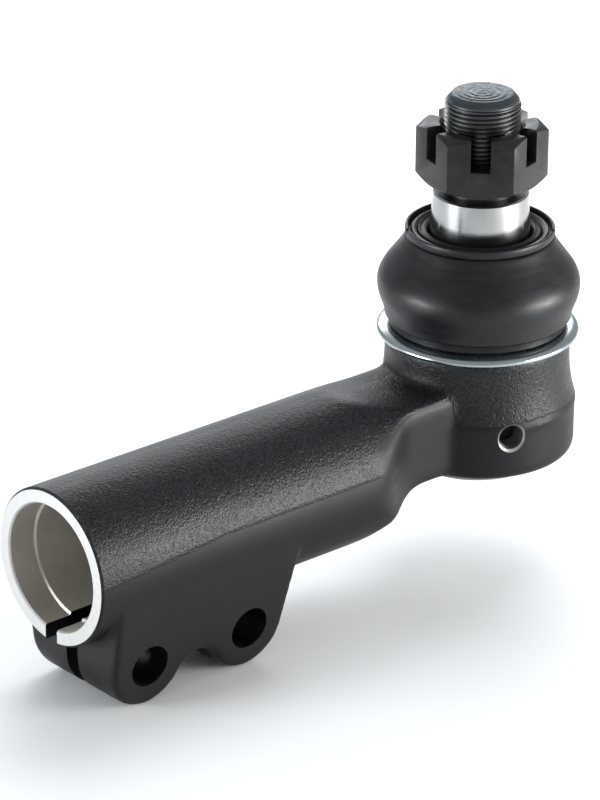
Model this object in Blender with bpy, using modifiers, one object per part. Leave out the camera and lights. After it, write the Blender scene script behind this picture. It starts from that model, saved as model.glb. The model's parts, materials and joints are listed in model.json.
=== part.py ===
"""Tie rod end: a forged body with a ball housing at one end and a split clamp socket at the other.

Frame: origin at the centre of the socket mouth, +X along the socket towards the ball stud,
+Z along the stud towards its thread, metres.
"""

import math

import bmesh
import bpy
from mathutils import Matrix, Vector

# Clearances, and how far a cutter runs past the face that it cuts
GAP = 0.0003
SEAT_GAP = 0.0002
SEAT_OUTER_GAP = 0.0003
OVERRUN = 0.0020

# Overall layout
STUD_X = 0.1733
BALL_Z = 0.0110
TILT_LIMIT = math.radians(18.0)

# Socket tube
BORE_RADIUS = 0.0192
COUNTERBORE_RADIUS = BORE_RADIUS + 0.0008
COUNTERBORE_DEPTH = 0.0098
COUNTERBORE_STEP = 0.0005
TUBE_WALL = 0.0050
TUBE_RADIUS = COUNTERBORE_RADIUS + TUBE_WALL
MOUTH_CHAMFER = 0.0008
SLIT_WIDTH = 0.0055
SLIT_LENGTH = 0.0980
BORE_DEPTH = SLIT_LENGTH + 0.0020
BORE_END_CONE = math.radians(15.0)

# Clamp lugs under the socket
BOLT_HOLE_RADIUS = 0.0069
BOLT_TUBE_GAP = 0.0002
LUG_FRONT_X = 0.0078
LUG_BOLT_SPACING = 0.0392
LUG_BOLT_DROP = TUBE_RADIUS + BOLT_TUBE_GAP + BOLT_HOLE_RADIUS
LUG_BOSS_RADIUS = BOLT_HOLE_RADIUS + 0.0068
LUG_ARCH_RADIUS = LUG_BOLT_SPACING / 2 - LUG_BOSS_RADIUS + 0.0021
LUG_BACK_LEAN = math.radians(11.0)
LUG_DRAFT = math.radians(8.5)
LUG_SET_IN = 0.0001

# Arm between the socket and the ball housing
ARM_SWEEP_X = SLIT_LENGTH + 0.0065
ARM_SWEEP_LENGTH = 0.0305
ARM_SHOULDER_X = SLIT_LENGTH + 0.0130
ARM_SHOULDER_LENGTH = 0.0195
ARM_TOP_FALL_LENGTH = 0.0280
ARM_HALF_WIDTH = 0.0172
ARM_TOP_Z = 0.0203
ARM_BOTTOM_Z = -0.0088
ARM_CUT_MARGIN = 0.0002

# Ball stud
BALL_RADIUS = 0.0180
BALL_FLAT_DROP = BALL_RADIUS - 0.0025
NECK_RADIUS = 0.0105
NECK_TOP_Z = 0.0415
TAPER_LARGE_RADIUS = 0.0164
TAPER_LARGE_Z = 0.0560
TAPER_SMALL_RADIUS = 0.01515
TAPER_SMALL_Z = 0.0773
TAPER_EDGE = 0.0005
THREAD_RADIUS = 0.0120
THREAD_PITCH = 0.0015
THREAD_DEPTH = 0.0009
THREAD_CREST = 0.0003
THREAD_END_Z = 0.1074
STUD_TIP_Z = THREAD_END_Z + 0.0025
STUD_TIP_RADIUS = THREAD_RADIUS - 0.0020
STUD_TIP_CHAMFER = 0.0019
RELIEF_RADIUS = THREAD_RADIUS - 0.0012
RELIEF_LENGTH = 0.0012
COTTER_HOLE_RADIUS = 0.0025

# Seats, spring and plug, from the ball outwards and downwards
SEAT_WALL = 0.0058
UPPER_SEAT_OPENING = math.radians(62.0)
UPPER_SEAT_ROOF = 0.00174
LOWER_SEAT_TOP_DROP = 0.0030
LOWER_SEAT_FLOOR = 0.0016
LOWER_SEAT_BOTTOM_Z = BALL_Z - BALL_RADIUS - SEAT_GAP - LOWER_SEAT_FLOOR
LOWER_SEAT_WELL_RADIUS = 0.0060
SPRING_HEIGHT = 0.0022
SPRING_THICKNESS = 0.0009
SPRING_INNER_RADIUS = LOWER_SEAT_WELL_RADIUS + 0.0025
PLUG_WALL = 0.0020
PLUG_EDGE = 0.0012
PLUG_FLANGE_THICKNESS = 0.0024
PLUG_BOTTOM_Z = LOWER_SEAT_BOTTOM_Z - GAP - SPRING_HEIGHT - GAP - PLUG_WALL
SEAL_SECTION_RADIUS = 0.0006

# Ball housing
CAVITY_RADIUS = BALL_RADIUS + SEAT_GAP + SEAT_WALL + SEAT_OUTER_GAP
LIP_THICKNESS = 0.0020
LIP_INNER_RADIUS = CAVITY_RADIUS - 0.0023
PLUG_BOSS_RADIUS = LIP_INNER_RADIUS - 0.0005
LOWER_SEAT_FOOT_RADIUS = PLUG_BOSS_RADIUS - 0.0030
SPRING_OUTER_RADIUS = LOWER_SEAT_FOOT_RADIUS - 0.0010
HOUSING_WALL = 0.0073
HOUSING_ROOF = 0.0082
HOUSING_BAND_RADIUS = CAVITY_RADIUS + HOUSING_WALL
HOUSING_TOP_RADIUS = HOUSING_BAND_RADIUS - 0.0022
HOUSING_BOTTOM_Z = LOWER_SEAT_BOTTOM_Z - 0.0006
HOUSING_TOP_CHAMFER = 0.0005
HOUSING_EDGE_RADIUS = 0.0030
PARTING_Z = 0.0074
PARTING_STEP = 0.0005
SPIGOT_RADIUS = HOUSING_TOP_RADIUS - 0.0048
SPIGOT_HEIGHT = 0.0028
GREASE_HOLE_RADIUS = 0.0041
GREASE_HOLE_CHAMFER = 0.0009
GREASE_HOLE_Z = 0.0052
GREASE_HOLE_TURN = math.radians(-22.0)

# Castle nut
NUT_ACROSS_FLATS = 0.0360
NUT_BOTTOM_Z = TAPER_SMALL_Z + 0.0038
NUT_HEIGHT = 0.0188
NUT_CHAMFER_ANGLE = math.radians(30.0)
NUT_FACE_INSET = 0.0006
NUT_SLOT_COUNT = 6
NUT_SLOT_WIDTH = 0.0062
NUT_SLOT_DEPTH = 0.0103
NUT_TURN = math.radians(45.4)

# Dust boot and its rings
BASE_RING_RADIUS = HOUSING_TOP_RADIUS + 0.00285
BASE_RING_THICKNESS = 0.0028
BASE_RING_UPSTAND = 0.0034
BASE_RING_WALL = 0.0012
BOOT_WALL = 0.0022
BOOT_COLLAR_RADIUS = SPIGOT_RADIUS + 2 * GAP + BASE_RING_WALL + 0.0020
BOOT_COLLAR_HEIGHT = 0.0032
BOOT_BULGE_RADIUS = BOOT_COLLAR_RADIUS + 0.0038
BOOT_BULGE_Z = 0.0468
BOOT_TOP_Z = 0.0627
BOOT_EDGE = 0.0006
BOOT_LOWER_FULLNESS = 1.2
SEAL_RING_RADIUS = TAPER_LARGE_RADIUS + 0.0032
SEAL_RING_HEIGHT = 0.0052
SEAL_RING_CROWN = 0.0002
SEAL_LIP_WIDTH = 0.0010
TOP_RING_RADIUS = SEAL_RING_RADIUS + GAP + 0.0038
TOP_RING_THICKNESS = 0.0026
TOP_RING_RIM = 0.0013
TOP_RING_RECESS = 0.0011
RING_EDGE = 0.0004
BOOT_SHOULDER_RADIUS = TOP_RING_RADIUS - 0.0001

# Number of flat sides on round shapes, and of steps along arcs and easy curves
ROUND = 32
TUBE_ROUND = 48
SMALL_ROUND = 24
COTTER_ROUND = 16
LONG_CURVE = 12
MIDDLE_CURVE = 8
SHORT_CURVE = 6


def clear_scene():
    for obj in list(bpy.data.objects):
        bpy.data.objects.remove(obj, do_unlink=True)


def new_collection(name, hidden=False):
    collection = bpy.data.collections.new(name)
    bpy.context.scene.collection.children.link(collection)
    collection.hide_render = hidden
    return collection


def material(name, color, roughness, metallic=0.0):
    made = bpy.data.materials.new(name)
    made.use_nodes = True
    shader = made.node_tree.nodes["Principled BSDF"]
    shader.inputs["Base Color"].default_value = (*color, 1.0)
    shader.inputs["Roughness"].default_value = roughness
    shader.inputs["Metallic"].default_value = metallic
    return made


def link(name, mesh, collection, finish=None):
    obj = bpy.data.objects.new(name, mesh)
    collection.objects.link(obj)
    if finish:
        mesh.materials.append(finish)
    return obj


def smooth(mesh, angle=math.radians(35)):
    mesh.shade_smooth()
    mesh.set_sharp_from_angle(angle=angle)


def turned(name, profile, collection, finish=None, closed=False, steps=ROUND, at=(0, 0, 0)):
    """Spin a profile of (radius, height) points, outer side listed top to bottom, about Z."""
    mesh = bpy.data.meshes.new(name)
    edges = [(i, i + 1) for i in range(len(profile) - 1)]
    if closed:
        edges.append((len(profile) - 1, 0))
    mesh.from_pydata([(r, 0, z) for r, z in profile], edges, [])
    obj = link(name, mesh, collection, finish)
    obj.location = at
    screw = obj.modifiers.new("turn", "SCREW")
    screw.steps = steps
    screw.render_steps = steps
    screw.use_merge_vertices = True
    screw.merge_threshold = 0.00001
    return applied(obj)


def applied(obj):
    """Replace an object's mesh by its evaluated mesh, so that it can cut or be cut."""
    graph = bpy.context.evaluated_depsgraph_get()
    mesh = bpy.data.meshes.new_from_object(obj.evaluated_get(graph))
    obj.modifiers.clear()
    obj.data = mesh
    smooth(mesh)
    return obj


def prism(name, outline, half_depth, collection, turn=None):
    """Extrude a flat outline, drawn in its own XY plane, by half_depth to each side."""
    curve = bpy.data.curves.new(name, "CURVE")
    curve.dimensions = "2D"
    curve.fill_mode = "BOTH"
    curve.extrude = half_depth
    spline = curve.splines.new("POLY")
    spline.points.add(len(outline) - 1)
    for point, (x, y) in zip(spline.points, outline):
        point.co = (x, y, 0, 1)
    spline.use_cyclic_u = True
    drawn = bpy.data.objects.new(name + "_outline", curve)
    collection.objects.link(drawn)
    if turn:
        drawn.matrix_world = turn
    bpy.context.view_layer.update()
    graph = bpy.context.evaluated_depsgraph_get()
    mesh = bpy.data.meshes.new_from_object(drawn.evaluated_get(graph))
    cage = bmesh.new()
    cage.from_mesh(mesh)
    bmesh.ops.remove_doubles(cage, verts=cage.verts, dist=0.000001)
    bmesh.ops.recalc_face_normals(cage, faces=cage.faces)
    cage.to_mesh(mesh)
    cage.free()
    obj = link(name, mesh, collection)
    obj.matrix_world = drawn.matrix_world
    bpy.data.objects.remove(drawn, do_unlink=True)
    return obj


def rod(name, radius_start, radius_end, start, end, collection, steps=SMALL_ROUND):
    """A cylinder or cone frustum between two points."""
    start, end = Vector(start), Vector(end)
    along = end - start
    cage = bmesh.new()
    bmesh.ops.create_cone(
        cage,
        cap_ends=True,
        segments=steps,
        radius1=radius_start,
        radius2=radius_end,
        depth=along.length,
    )
    turn = along.to_track_quat("Z", "Y").to_matrix().to_4x4()
    cage.transform(Matrix.Translation((start + end) / 2) @ turn)
    mesh = bpy.data.meshes.new(name)
    cage.to_mesh(mesh)
    cage.free()
    return link(name, mesh, collection)


def boolean(obj, operation, *others):
    for other in others:
        other.display_type = "WIRE"
        other.hide_render = True
        step = obj.modifiers.new(other.name, "BOOLEAN")
        step.operation = operation
        step.solver = "EXACT"
        step.object = other
    return obj


def arc(center, radius, start, end, count):
    """Points on a circle from one angle to another, both in radians, ends included."""
    return [
        (
            center[0] + radius * math.cos(start + (end - start) * i / count),
            center[1] + radius * math.sin(start + (end - start) * i / count),
        )
        for i in range(count + 1)
    ]


def ease(start, end, share):
    """Smooth change from one value to another as share goes from 0 to 1."""
    share = min(max(share, 0.0), 1.0)
    return start + (end - start) * share * share * (3 - 2 * share)


def eased_line(x, length, start, end):
    """Points that pass smoothly from one offset to another along a length of the X axis."""
    shares = [i / LONG_CURVE for i in range(LONG_CURVE + 1)]
    return [(x + length * share, ease(start, end, share)) for share in shares]


def along_y():
    """Placement that stands an outline drawn in X and Z upright."""
    return Matrix.Rotation(math.pi / 2, 4, "X")


def along_x():
    """Placement for an outline drawn in Y and Z."""
    return Matrix.Rotation(math.pi / 2, 4, "Z") @ Matrix.Rotation(math.pi / 2, 4, "X")


def corner_tilt():
    """Lean of the stud when both tilt hinges stand at their limits."""
    return math.acos(math.cos(TILT_LIMIT) ** 2)


def mouth_radius(z):
    """Radius that the leaning neck of the stud needs in the housing at a height."""
    lean = corner_tilt()
    return (z - BALL_Z) * math.tan(lean) + NECK_RADIUS / math.cos(lean) + GAP


def cavity_top_z():
    """Top of the ball cavity: a roof over the height where the ball meets the leaning neck's cone."""
    slope = math.tan(corner_tilt())
    neck = NECK_RADIUS / math.cos(corner_tilt())
    square = 1 + slope**2
    rest = neck**2 - BALL_RADIUS**2
    throat = (math.sqrt((slope * neck) ** 2 - square * rest) - slope * neck) / square
    return BALL_Z + throat + UPPER_SEAT_ROOF


def housing_top_z():
    return cavity_top_z() + HOUSING_ROOF


def taper_radius(z):
    share = (z - TAPER_LARGE_Z) / (TAPER_SMALL_Z - TAPER_LARGE_Z)
    return TAPER_LARGE_RADIUS + share * (TAPER_SMALL_RADIUS - TAPER_LARGE_RADIUS)


# Forged body


def arm_blank(cutters):
    """Round socket tube, narrowed in plan and cut up from below towards the housing."""
    blank = rod("arm_blank", TUBE_RADIUS, TUBE_RADIUS, (0, 0, 0), (STUD_X, 0, 0), cutters, TUBE_ROUND)
    widest = TUBE_RADIUS + ARM_CUT_MARGIN
    start, end = -OVERRUN, STUD_X + OVERRUN
    side = eased_line(ARM_SHOULDER_X, ARM_SHOULDER_LENGTH, widest, ARM_HALF_WIDTH)
    side = [(start, widest)] + side + [(end, ARM_HALF_WIDTH)]
    plan = side + [(x, -y) for x, y in reversed(side)]
    below = eased_line(ARM_SWEEP_X, ARM_SWEEP_LENGTH, -widest, ARM_BOTTOM_Z)
    above = eased_line(ARM_SWEEP_X, ARM_TOP_FALL_LENGTH, widest, ARM_TOP_Z)
    profile = [(start, -widest)] + below + [(end, ARM_BOTTOM_Z), (end, ARM_TOP_Z)]
    profile += above[::-1] + [(start, widest)]
    seen_from_above = prism("arm_plan", plan, 2 * TUBE_RADIUS, cutters)
    seen_from_side = prism("arm_profile", profile, 2 * TUBE_RADIUS, cutters, along_y())
    return boolean(blank, "INTERSECT", seen_from_above, seen_from_side)


def lug_outline():
    """Side outline of the clamp lugs: two bosses with an arch between them."""
    front = (LUG_FRONT_X + LUG_BOSS_RADIUS, -LUG_BOLT_DROP)
    back = (front[0] + LUG_BOLT_SPACING, -LUG_BOLT_DROP)
    reach = LUG_BOSS_RADIUS + LUG_ARCH_RADIUS
    dip = math.sqrt(reach**2 - (LUG_BOLT_SPACING / 2) ** 2)
    arch = ((front[0] + back[0]) / 2, -LUG_BOLT_DROP - dip)
    meet = math.atan2(dip, LUG_BOLT_SPACING / 2)
    points = [(LUG_FRONT_X, 0.0)]
    points += arc(front, LUG_BOSS_RADIUS, math.pi, 2 * math.pi - meet, LONG_CURVE)
    points += arc(arch, LUG_ARCH_RADIUS, math.pi - meet, meet, MIDDLE_CURVE)[1:-1]
    points += arc(back, LUG_BOSS_RADIUS, math.pi + meet, 2 * math.pi - LUG_BACK_LEAN, LONG_CURVE)
    last = points[-1]
    points.append((last[0] + math.tan(LUG_BACK_LEAN) * -last[1], 0.0))
    return points


def lug_width(z):
    """Half width of the drafted lugs, tangent to the tube, at a height under the axis."""
    return (TUBE_RADIUS - LUG_SET_IN + z * math.sin(LUG_DRAFT)) / math.cos(LUG_DRAFT)


def lugs_bottom():
    return -LUG_BOLT_DROP - LUG_BOSS_RADIUS


def lugs_blank(cutters):
    """Both lugs as one block, from the height where their sides touch the tube down to their feet."""
    top = -TUBE_RADIUS * math.sin(LUG_DRAFT)
    bottom = lugs_bottom() - OVERRUN
    wide, narrow = lug_width(top), lug_width(bottom)
    wedge = [(-wide, top), (-narrow, bottom), (narrow, bottom), (wide, top)]
    blank = prism("lugs_blank", lug_outline(), 2 * TUBE_RADIUS, cutters, along_y())
    draft = prism("lugs_draft", wedge, STUD_X, cutters, along_x())
    return boolean(blank, "INTERSECT", draft)


def housing_profile():
    edge = (HOUSING_BAND_RADIUS - HOUSING_EDGE_RADIUS, HOUSING_BOTTOM_Z + HOUSING_EDGE_RADIUS)
    top = housing_top_z()
    low = top - HOUSING_TOP_CHAMFER
    flare = HOUSING_BAND_RADIUS + PARTING_STEP - HOUSING_TOP_RADIUS
    profile = [
        (0, top + SPIGOT_HEIGHT),
        (SPIGOT_RADIUS, top + SPIGOT_HEIGHT),
        (SPIGOT_RADIUS, top),
        (HOUSING_TOP_RADIUS - HOUSING_TOP_CHAMFER, top),
    ]
    for share in (i / SHORT_CURVE for i in range(SHORT_CURVE + 1)):
        profile.append((HOUSING_TOP_RADIUS + flare * share**3, low + (PARTING_Z - low) * share))
    profile.append((HOUSING_BAND_RADIUS, PARTING_Z - PARTING_STEP))
    profile += arc(edge, HOUSING_EDGE_RADIUS, 0, -math.pi / 2, SHORT_CURVE)
    profile.append((0, HOUSING_BOTTOM_Z))
    return profile


def cavity_profile():
    top = housing_top_z() + SPIGOT_HEIGHT + OVERRUN
    below = HOUSING_BOTTOM_Z - OVERRUN
    lip_top = HOUSING_BOTTOM_Z + LIP_THICKNESS
    return [
        (0, top),
        (mouth_radius(top), top),
        (mouth_radius(cavity_top_z()), cavity_top_z()),
        (CAVITY_RADIUS, cavity_top_z()),
        (CAVITY_RADIUS, lip_top),
        (LIP_INNER_RADIUS, lip_top),
        (LIP_INNER_RADIUS, below),
        (0, below),
    ]


def bore_profile():
    """Socket bore drawn as a turned shape about its own axis, mouth at the top."""
    return [
        (0, OVERRUN),
        (COUNTERBORE_RADIUS + MOUTH_CHAMFER + OVERRUN, OVERRUN),
        (COUNTERBORE_RADIUS, -MOUTH_CHAMFER),
        (COUNTERBORE_RADIUS, -COUNTERBORE_DEPTH + COUNTERBORE_STEP),
        (BORE_RADIUS, -COUNTERBORE_DEPTH),
        (BORE_RADIUS, -BORE_DEPTH),
        (0, -BORE_DEPTH - BORE_RADIUS * math.tan(BORE_END_CONE)),
    ]


def slit_outline():
    half = SLIT_WIDTH / 2
    end = SLIT_LENGTH - half
    round_end = arc((end, 0), half, -math.pi / 2, math.pi / 2, MIDDLE_CURVE)
    return [(-OVERRUN, -half)] + round_end + [(-OVERRUN, half)]


def clamp_slit(cutters):
    """Slit from inside the bore down past the lugs' feet."""
    high = -BORE_RADIUS / 2
    low = lugs_bottom() - OVERRUN
    place = Matrix.Translation((0, 0, (high + low) / 2))
    return prism("clamp_slit", slit_outline(), (high - low) / 2, cutters, place)


def bolt_x(index):
    return LUG_FRONT_X + LUG_BOSS_RADIUS + index * LUG_BOLT_SPACING


def bolt_cutters(cutters):
    reach = TUBE_RADIUS + OVERRUN
    made = []
    for index in range(2):
        start = (bolt_x(index), -reach, -LUG_BOLT_DROP)
        end = (bolt_x(index), reach, -LUG_BOLT_DROP)
        name = f"bolt_hole_{index + 1}"
        made.append(rod(name, BOLT_HOLE_RADIUS, BOLT_HOLE_RADIUS, start, end, cutters))
    return made


def grease_cutter(cutters):
    """Countersunk grease hole, turned about its own axis and laid to point out of the housing."""
    outer = HOUSING_BAND_RADIUS + OVERRUN
    sink_start = HOUSING_BAND_RADIUS - GREASE_HOLE_CHAMFER
    profile = [
        (0, outer),
        (GREASE_HOLE_RADIUS + outer - sink_start, outer),
        (GREASE_HOLE_RADIUS, sink_start),
        (GREASE_HOLE_RADIUS, CAVITY_RADIUS - OVERRUN),
        (0, CAVITY_RADIUS - OVERRUN),
    ]
    hole = turned("grease_hole", profile, cutters, steps=SMALL_ROUND)
    hole.location = (STUD_X, 0, GREASE_HOLE_Z)
    hole.rotation_euler = (math.pi / 2, 0, GREASE_HOLE_TURN)
    return hole


def forged_body(parts, cutters, finish):
    body = arm_blank(cutters)
    body.name = "forged_body"
    cutters.objects.unlink(body)
    parts.objects.link(body)
    body.data.materials.append(finish)
    at = (STUD_X, 0, 0)
    housing = turned("housing_blank", housing_profile(), cutters, steps=TUBE_ROUND, at=at)
    cavity = turned("ball_cavity", cavity_profile(), cutters, at=at)
    bore = turned("socket_bore", bore_profile(), cutters)
    bore.rotation_euler = (0, -math.pi / 2, 0)
    boolean(body, "UNION", lugs_blank(cutters), housing)
    boolean(body, "DIFFERENCE", bore, clamp_slit(cutters), *bolt_cutters(cutters))
    boolean(body, "DIFFERENCE", grease_cutter(cutters), cavity)
    return body


# Inside the ball housing


def upper_ball_seat(parts, finish):
    radius = BALL_RADIUS + SEAT_GAP
    outer = CAVITY_RADIUS - SEAT_OUTER_GAP
    top = cavity_top_z() - GAP
    dome = arc((0, BALL_Z), radius, math.pi / 2 - UPPER_SEAT_OPENING, 0, SHORT_CURVE)
    profile = [(max(mouth_radius(top), dome[0][0]), top), (outer, top), (outer, BALL_Z)]
    profile += dome[::-1]
    return turned("upper_ball_seat", profile, parts, finish, True, at=(STUD_X, 0, 0))


def lower_seat_foot_z():
    """Height where the lower seat steps in to pass through the plug's flange."""
    return plug_top() + GAP


def plug_top():
    return HOUSING_BOTTOM_Z + LIP_THICKNESS + GAP + PLUG_FLANGE_THICKNESS


def lower_ball_seat(parts, finish):
    radius = BALL_RADIUS + SEAT_GAP
    outer = CAVITY_RADIUS - SEAT_OUTER_GAP
    well = LOWER_SEAT_WELL_RADIUS
    top = BALL_Z - LOWER_SEAT_TOP_DROP
    start = -math.asin(LOWER_SEAT_TOP_DROP / radius)
    bowl = arc((0, BALL_Z), radius, start, -math.acos(well / radius), MIDDLE_CURVE)
    profile = [
        (outer, top),
        (outer, lower_seat_foot_z()),
        (LOWER_SEAT_FOOT_RADIUS, lower_seat_foot_z()),
        (LOWER_SEAT_FOOT_RADIUS, LOWER_SEAT_BOTTOM_Z),
        (well, LOWER_SEAT_BOTTOM_Z),
    ]
    profile += bowl[::-1]
    return turned("lower_ball_seat", profile, parts, finish, True, at=(STUD_X, 0, 0))


def plug_floor():
    return PLUG_BOTTOM_Z + PLUG_WALL


def end_plug(parts, finish):
    outer = CAVITY_RADIUS - SEAT_OUTER_GAP
    inner = LOWER_SEAT_FOOT_RADIUS + SEAT_OUTER_GAP
    low = plug_top() - PLUG_FLANGE_THICKNESS
    middle = (low + plug_top()) / 2
    groove = SEAL_SECTION_RADIUS + GAP / 2
    profile = [
        (0, plug_floor()),
        (inner, plug_floor()),
        (inner, plug_top()),
        (outer, plug_top()),
        (outer, middle + groove),
        (outer - SEAL_SECTION_RADIUS - groove, middle + groove),
        (outer - SEAL_SECTION_RADIUS - groove, middle - groove),
        (outer, middle - groove),
        (outer, low),
        (PLUG_BOSS_RADIUS, low),
        (PLUG_BOSS_RADIUS, PLUG_BOTTOM_Z + PLUG_EDGE),
        (PLUG_BOSS_RADIUS - PLUG_EDGE, PLUG_BOTTOM_Z),
        (0, PLUG_BOTTOM_Z),
    ]
    return turned("end_plug", profile, parts, finish, at=(STUD_X, 0, 0))


def plug_seal(parts, finish):
    middle = plug_top() - PLUG_FLANGE_THICKNESS / 2
    center = CAVITY_RADIUS - SEAT_OUTER_GAP - SEAL_SECTION_RADIUS
    section = arc((center, middle), SEAL_SECTION_RADIUS, math.pi / 2, -3 * math.pi / 2, MIDDLE_CURVE)
    profile = section[:-1]
    return turned("plug_seal", profile, parts, finish, True, at=(STUD_X, 0, 0))


def preload_spring(parts, finish):
    top = LOWER_SEAT_BOTTOM_Z - GAP
    bottom = plug_floor() + GAP
    profile = [
        (SPRING_INNER_RADIUS, top),
        (SPRING_OUTER_RADIUS, bottom + SPRING_THICKNESS),
        (SPRING_OUTER_RADIUS, bottom),
        (SPRING_INNER_RADIUS, top - SPRING_THICKNESS),
    ]
    return turned("preload_spring", profile, parts, finish, True, at=(STUD_X, 0, 0))


# Stud and nut


def thread_profile():
    """Ring grooves at the thread's pitch on the stretch above the nut."""
    points = []
    low = NUT_BOTTOM_Z + NUT_HEIGHT + GAP
    count = int((THREAD_END_Z - low) / THREAD_PITCH)
    root = (THREAD_PITCH + THREAD_CREST) / 2
    for index in range(count):
        z = THREAD_END_Z - index * THREAD_PITCH
        points.append((THREAD_RADIUS, z))
        points.append((THREAD_RADIUS, z - THREAD_CREST))
        points.append((THREAD_RADIUS - THREAD_DEPTH, z - root))
    points.append((THREAD_RADIUS, THREAD_END_Z - count * THREAD_PITCH))
    return points


def stud_profile():
    ball_top = math.asin(NECK_RADIUS / BALL_RADIUS)
    ball_end = math.acos(-BALL_FLAT_DROP / BALL_RADIUS)
    profile = [(0, STUD_TIP_Z), (STUD_TIP_RADIUS, STUD_TIP_Z)]
    profile.append((THREAD_RADIUS - THREAD_DEPTH / 2, STUD_TIP_Z - STUD_TIP_CHAMFER))
    profile += thread_profile()
    profile += [
        (THREAD_RADIUS, TAPER_SMALL_Z + RELIEF_LENGTH),
        (RELIEF_RADIUS, TAPER_SMALL_Z + RELIEF_LENGTH / 2),
        (RELIEF_RADIUS, TAPER_SMALL_Z),
        (TAPER_SMALL_RADIUS - TAPER_EDGE, TAPER_SMALL_Z),
        (taper_radius(TAPER_SMALL_Z - TAPER_EDGE), TAPER_SMALL_Z - TAPER_EDGE),
        (TAPER_LARGE_RADIUS, TAPER_LARGE_Z),
    ]
    for share in (i / SHORT_CURVE for i in range(1, SHORT_CURVE + 1)):
        z = TAPER_LARGE_Z + (NECK_TOP_Z - TAPER_LARGE_Z) * share
        profile.append((ease(TAPER_LARGE_RADIUS, NECK_RADIUS, share), z))
    ball = arc((0, BALL_Z), BALL_RADIUS, math.pi / 2 - ball_top, math.pi / 2 - ball_end, LONG_CURVE)
    return profile + ball + [(0, BALL_Z - BALL_FLAT_DROP)]


def nut_slot_direction(index):
    return NUT_TURN + index * math.tau / NUT_SLOT_COUNT


def ball_stud(parts, cutters, finish):
    stud = turned("ball_stud", stud_profile(), parts, finish, at=(STUD_X, 0, 0))
    turn = nut_slot_direction(1)
    across = Vector((math.cos(turn), math.sin(turn), 0)) * (THREAD_RADIUS + OVERRUN)
    z = NUT_BOTTOM_Z + NUT_HEIGHT - NUT_SLOT_DEPTH + COTTER_HOLE_RADIUS + GAP
    center = Vector((STUD_X, 0, z))
    radius = COTTER_HOLE_RADIUS
    hole = rod("cotter_hole", radius, radius, center - across, center + across, cutters, COTTER_ROUND)
    return boolean(stud, "DIFFERENCE", hole)


def nut_corner():
    return NUT_ACROSS_FLATS / 2 / math.cos(math.pi / 6)


def nut_chamfer_profile():
    """Double cone that the hexagon is cut to, with the full corner in between."""
    reach = nut_corner() + OVERRUN
    face = NUT_ACROSS_FLATS / 2 - NUT_FACE_INSET
    rise = (reach - face) * math.tan(NUT_CHAMFER_ANGLE)
    top = NUT_BOTTOM_Z + NUT_HEIGHT
    return [
        (0, top),
        (face, top),
        (reach, top - rise),
        (reach, NUT_BOTTOM_Z + rise),
        (face, NUT_BOTTOM_Z),
        (0, NUT_BOTTOM_Z),
    ]


def castle_nut(parts, cutters, finish):
    top = NUT_BOTTOM_Z + NUT_HEIGHT
    nut = turned("castle_nut", nut_chamfer_profile(), parts, finish, steps=TUBE_ROUND, at=(STUD_X, 0, 0))
    turns = [NUT_TURN + math.pi / 6 + i * math.pi / 3 for i in range(6)]
    outline = [(nut_corner() * math.cos(turn), nut_corner() * math.sin(turn)) for turn in turns]
    place = Matrix.Translation((STUD_X, 0, NUT_BOTTOM_Z + NUT_HEIGHT / 2))
    hexagon = prism("nut_hexagon", outline, NUT_HEIGHT, cutters, place)
    radius = THREAD_RADIUS + GAP
    low, high = (STUD_X, 0, NUT_BOTTOM_Z - OVERRUN), (STUD_X, 0, top + OVERRUN)
    bore = rod("nut_bore", radius, radius, low, high, cutters, ROUND)
    boolean(nut, "INTERSECT", hexagon)
    boolean(nut, "DIFFERENCE", bore)
    half = NUT_SLOT_WIDTH / 2
    outline = [(0, -half), (NUT_ACROSS_FLATS, -half), (NUT_ACROSS_FLATS, half), (0, half)]
    for index in range(NUT_SLOT_COUNT):
        turn = Matrix.Rotation(nut_slot_direction(index), 4, "Z")
        place = Matrix.Translation((STUD_X, 0, top)) @ turn
        slot = prism(f"nut_slot_{index + 1}", outline, NUT_SLOT_DEPTH, cutters, place)
        boolean(nut, "DIFFERENCE", slot)
    return nut


# Dust boot


def base_ring_z():
    return housing_top_z() + GAP


def boot_base_ring(parts, finish):
    low = base_ring_z()
    high = low + BASE_RING_THICKNESS
    inner = SPIGOT_RADIUS + GAP
    edge = BASE_RING_THICKNESS / 2
    rim = arc((BASE_RING_RADIUS - edge, low + edge), edge, math.pi / 2, -math.pi / 2, MIDDLE_CURVE)
    profile = [(inner, high + BASE_RING_UPSTAND), (inner + BASE_RING_WALL, high + BASE_RING_UPSTAND)]
    profile += [(inner + BASE_RING_WALL, high)] + rim + [(inner, low)]
    return turned("boot_base_ring", profile, parts, finish, True, at=(STUD_X, 0, 0))


def boot_outline():
    """Outer profile of the dust boot, from its top down: sloped shoulder, bulge and collar."""
    low = base_ring_z() + BASE_RING_THICKNESS + GAP
    waist_z = low + BOOT_COLLAR_HEIGHT
    edge = BOOT_TOP_Z - BOOT_EDGE
    profile = [(BOOT_SHOULDER_RADIUS - 2 * BOOT_EDGE, BOOT_TOP_Z)]
    for share in (i / MIDDLE_CURVE for i in range(MIDDLE_CURVE + 1)):
        swell = ease(share, math.sin(share * math.pi / 2), share)
        radius = BOOT_SHOULDER_RADIUS + (BOOT_BULGE_RADIUS - BOOT_SHOULDER_RADIUS) * swell
        profile.append((radius, edge + (BOOT_BULGE_Z - edge) * share))
    for share in (i / SHORT_CURVE for i in range(1, SHORT_CURVE + 1)):
        radius = ease(BOOT_BULGE_RADIUS, BOOT_COLLAR_RADIUS + BOOT_EDGE, share**BOOT_LOWER_FULLNESS)
        profile.append((radius, BOOT_BULGE_Z + (waist_z - BOOT_BULGE_Z) * share))
    return profile + [(BOOT_COLLAR_RADIUS, waist_z - BOOT_EDGE), (BOOT_COLLAR_RADIUS, low)]


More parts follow.
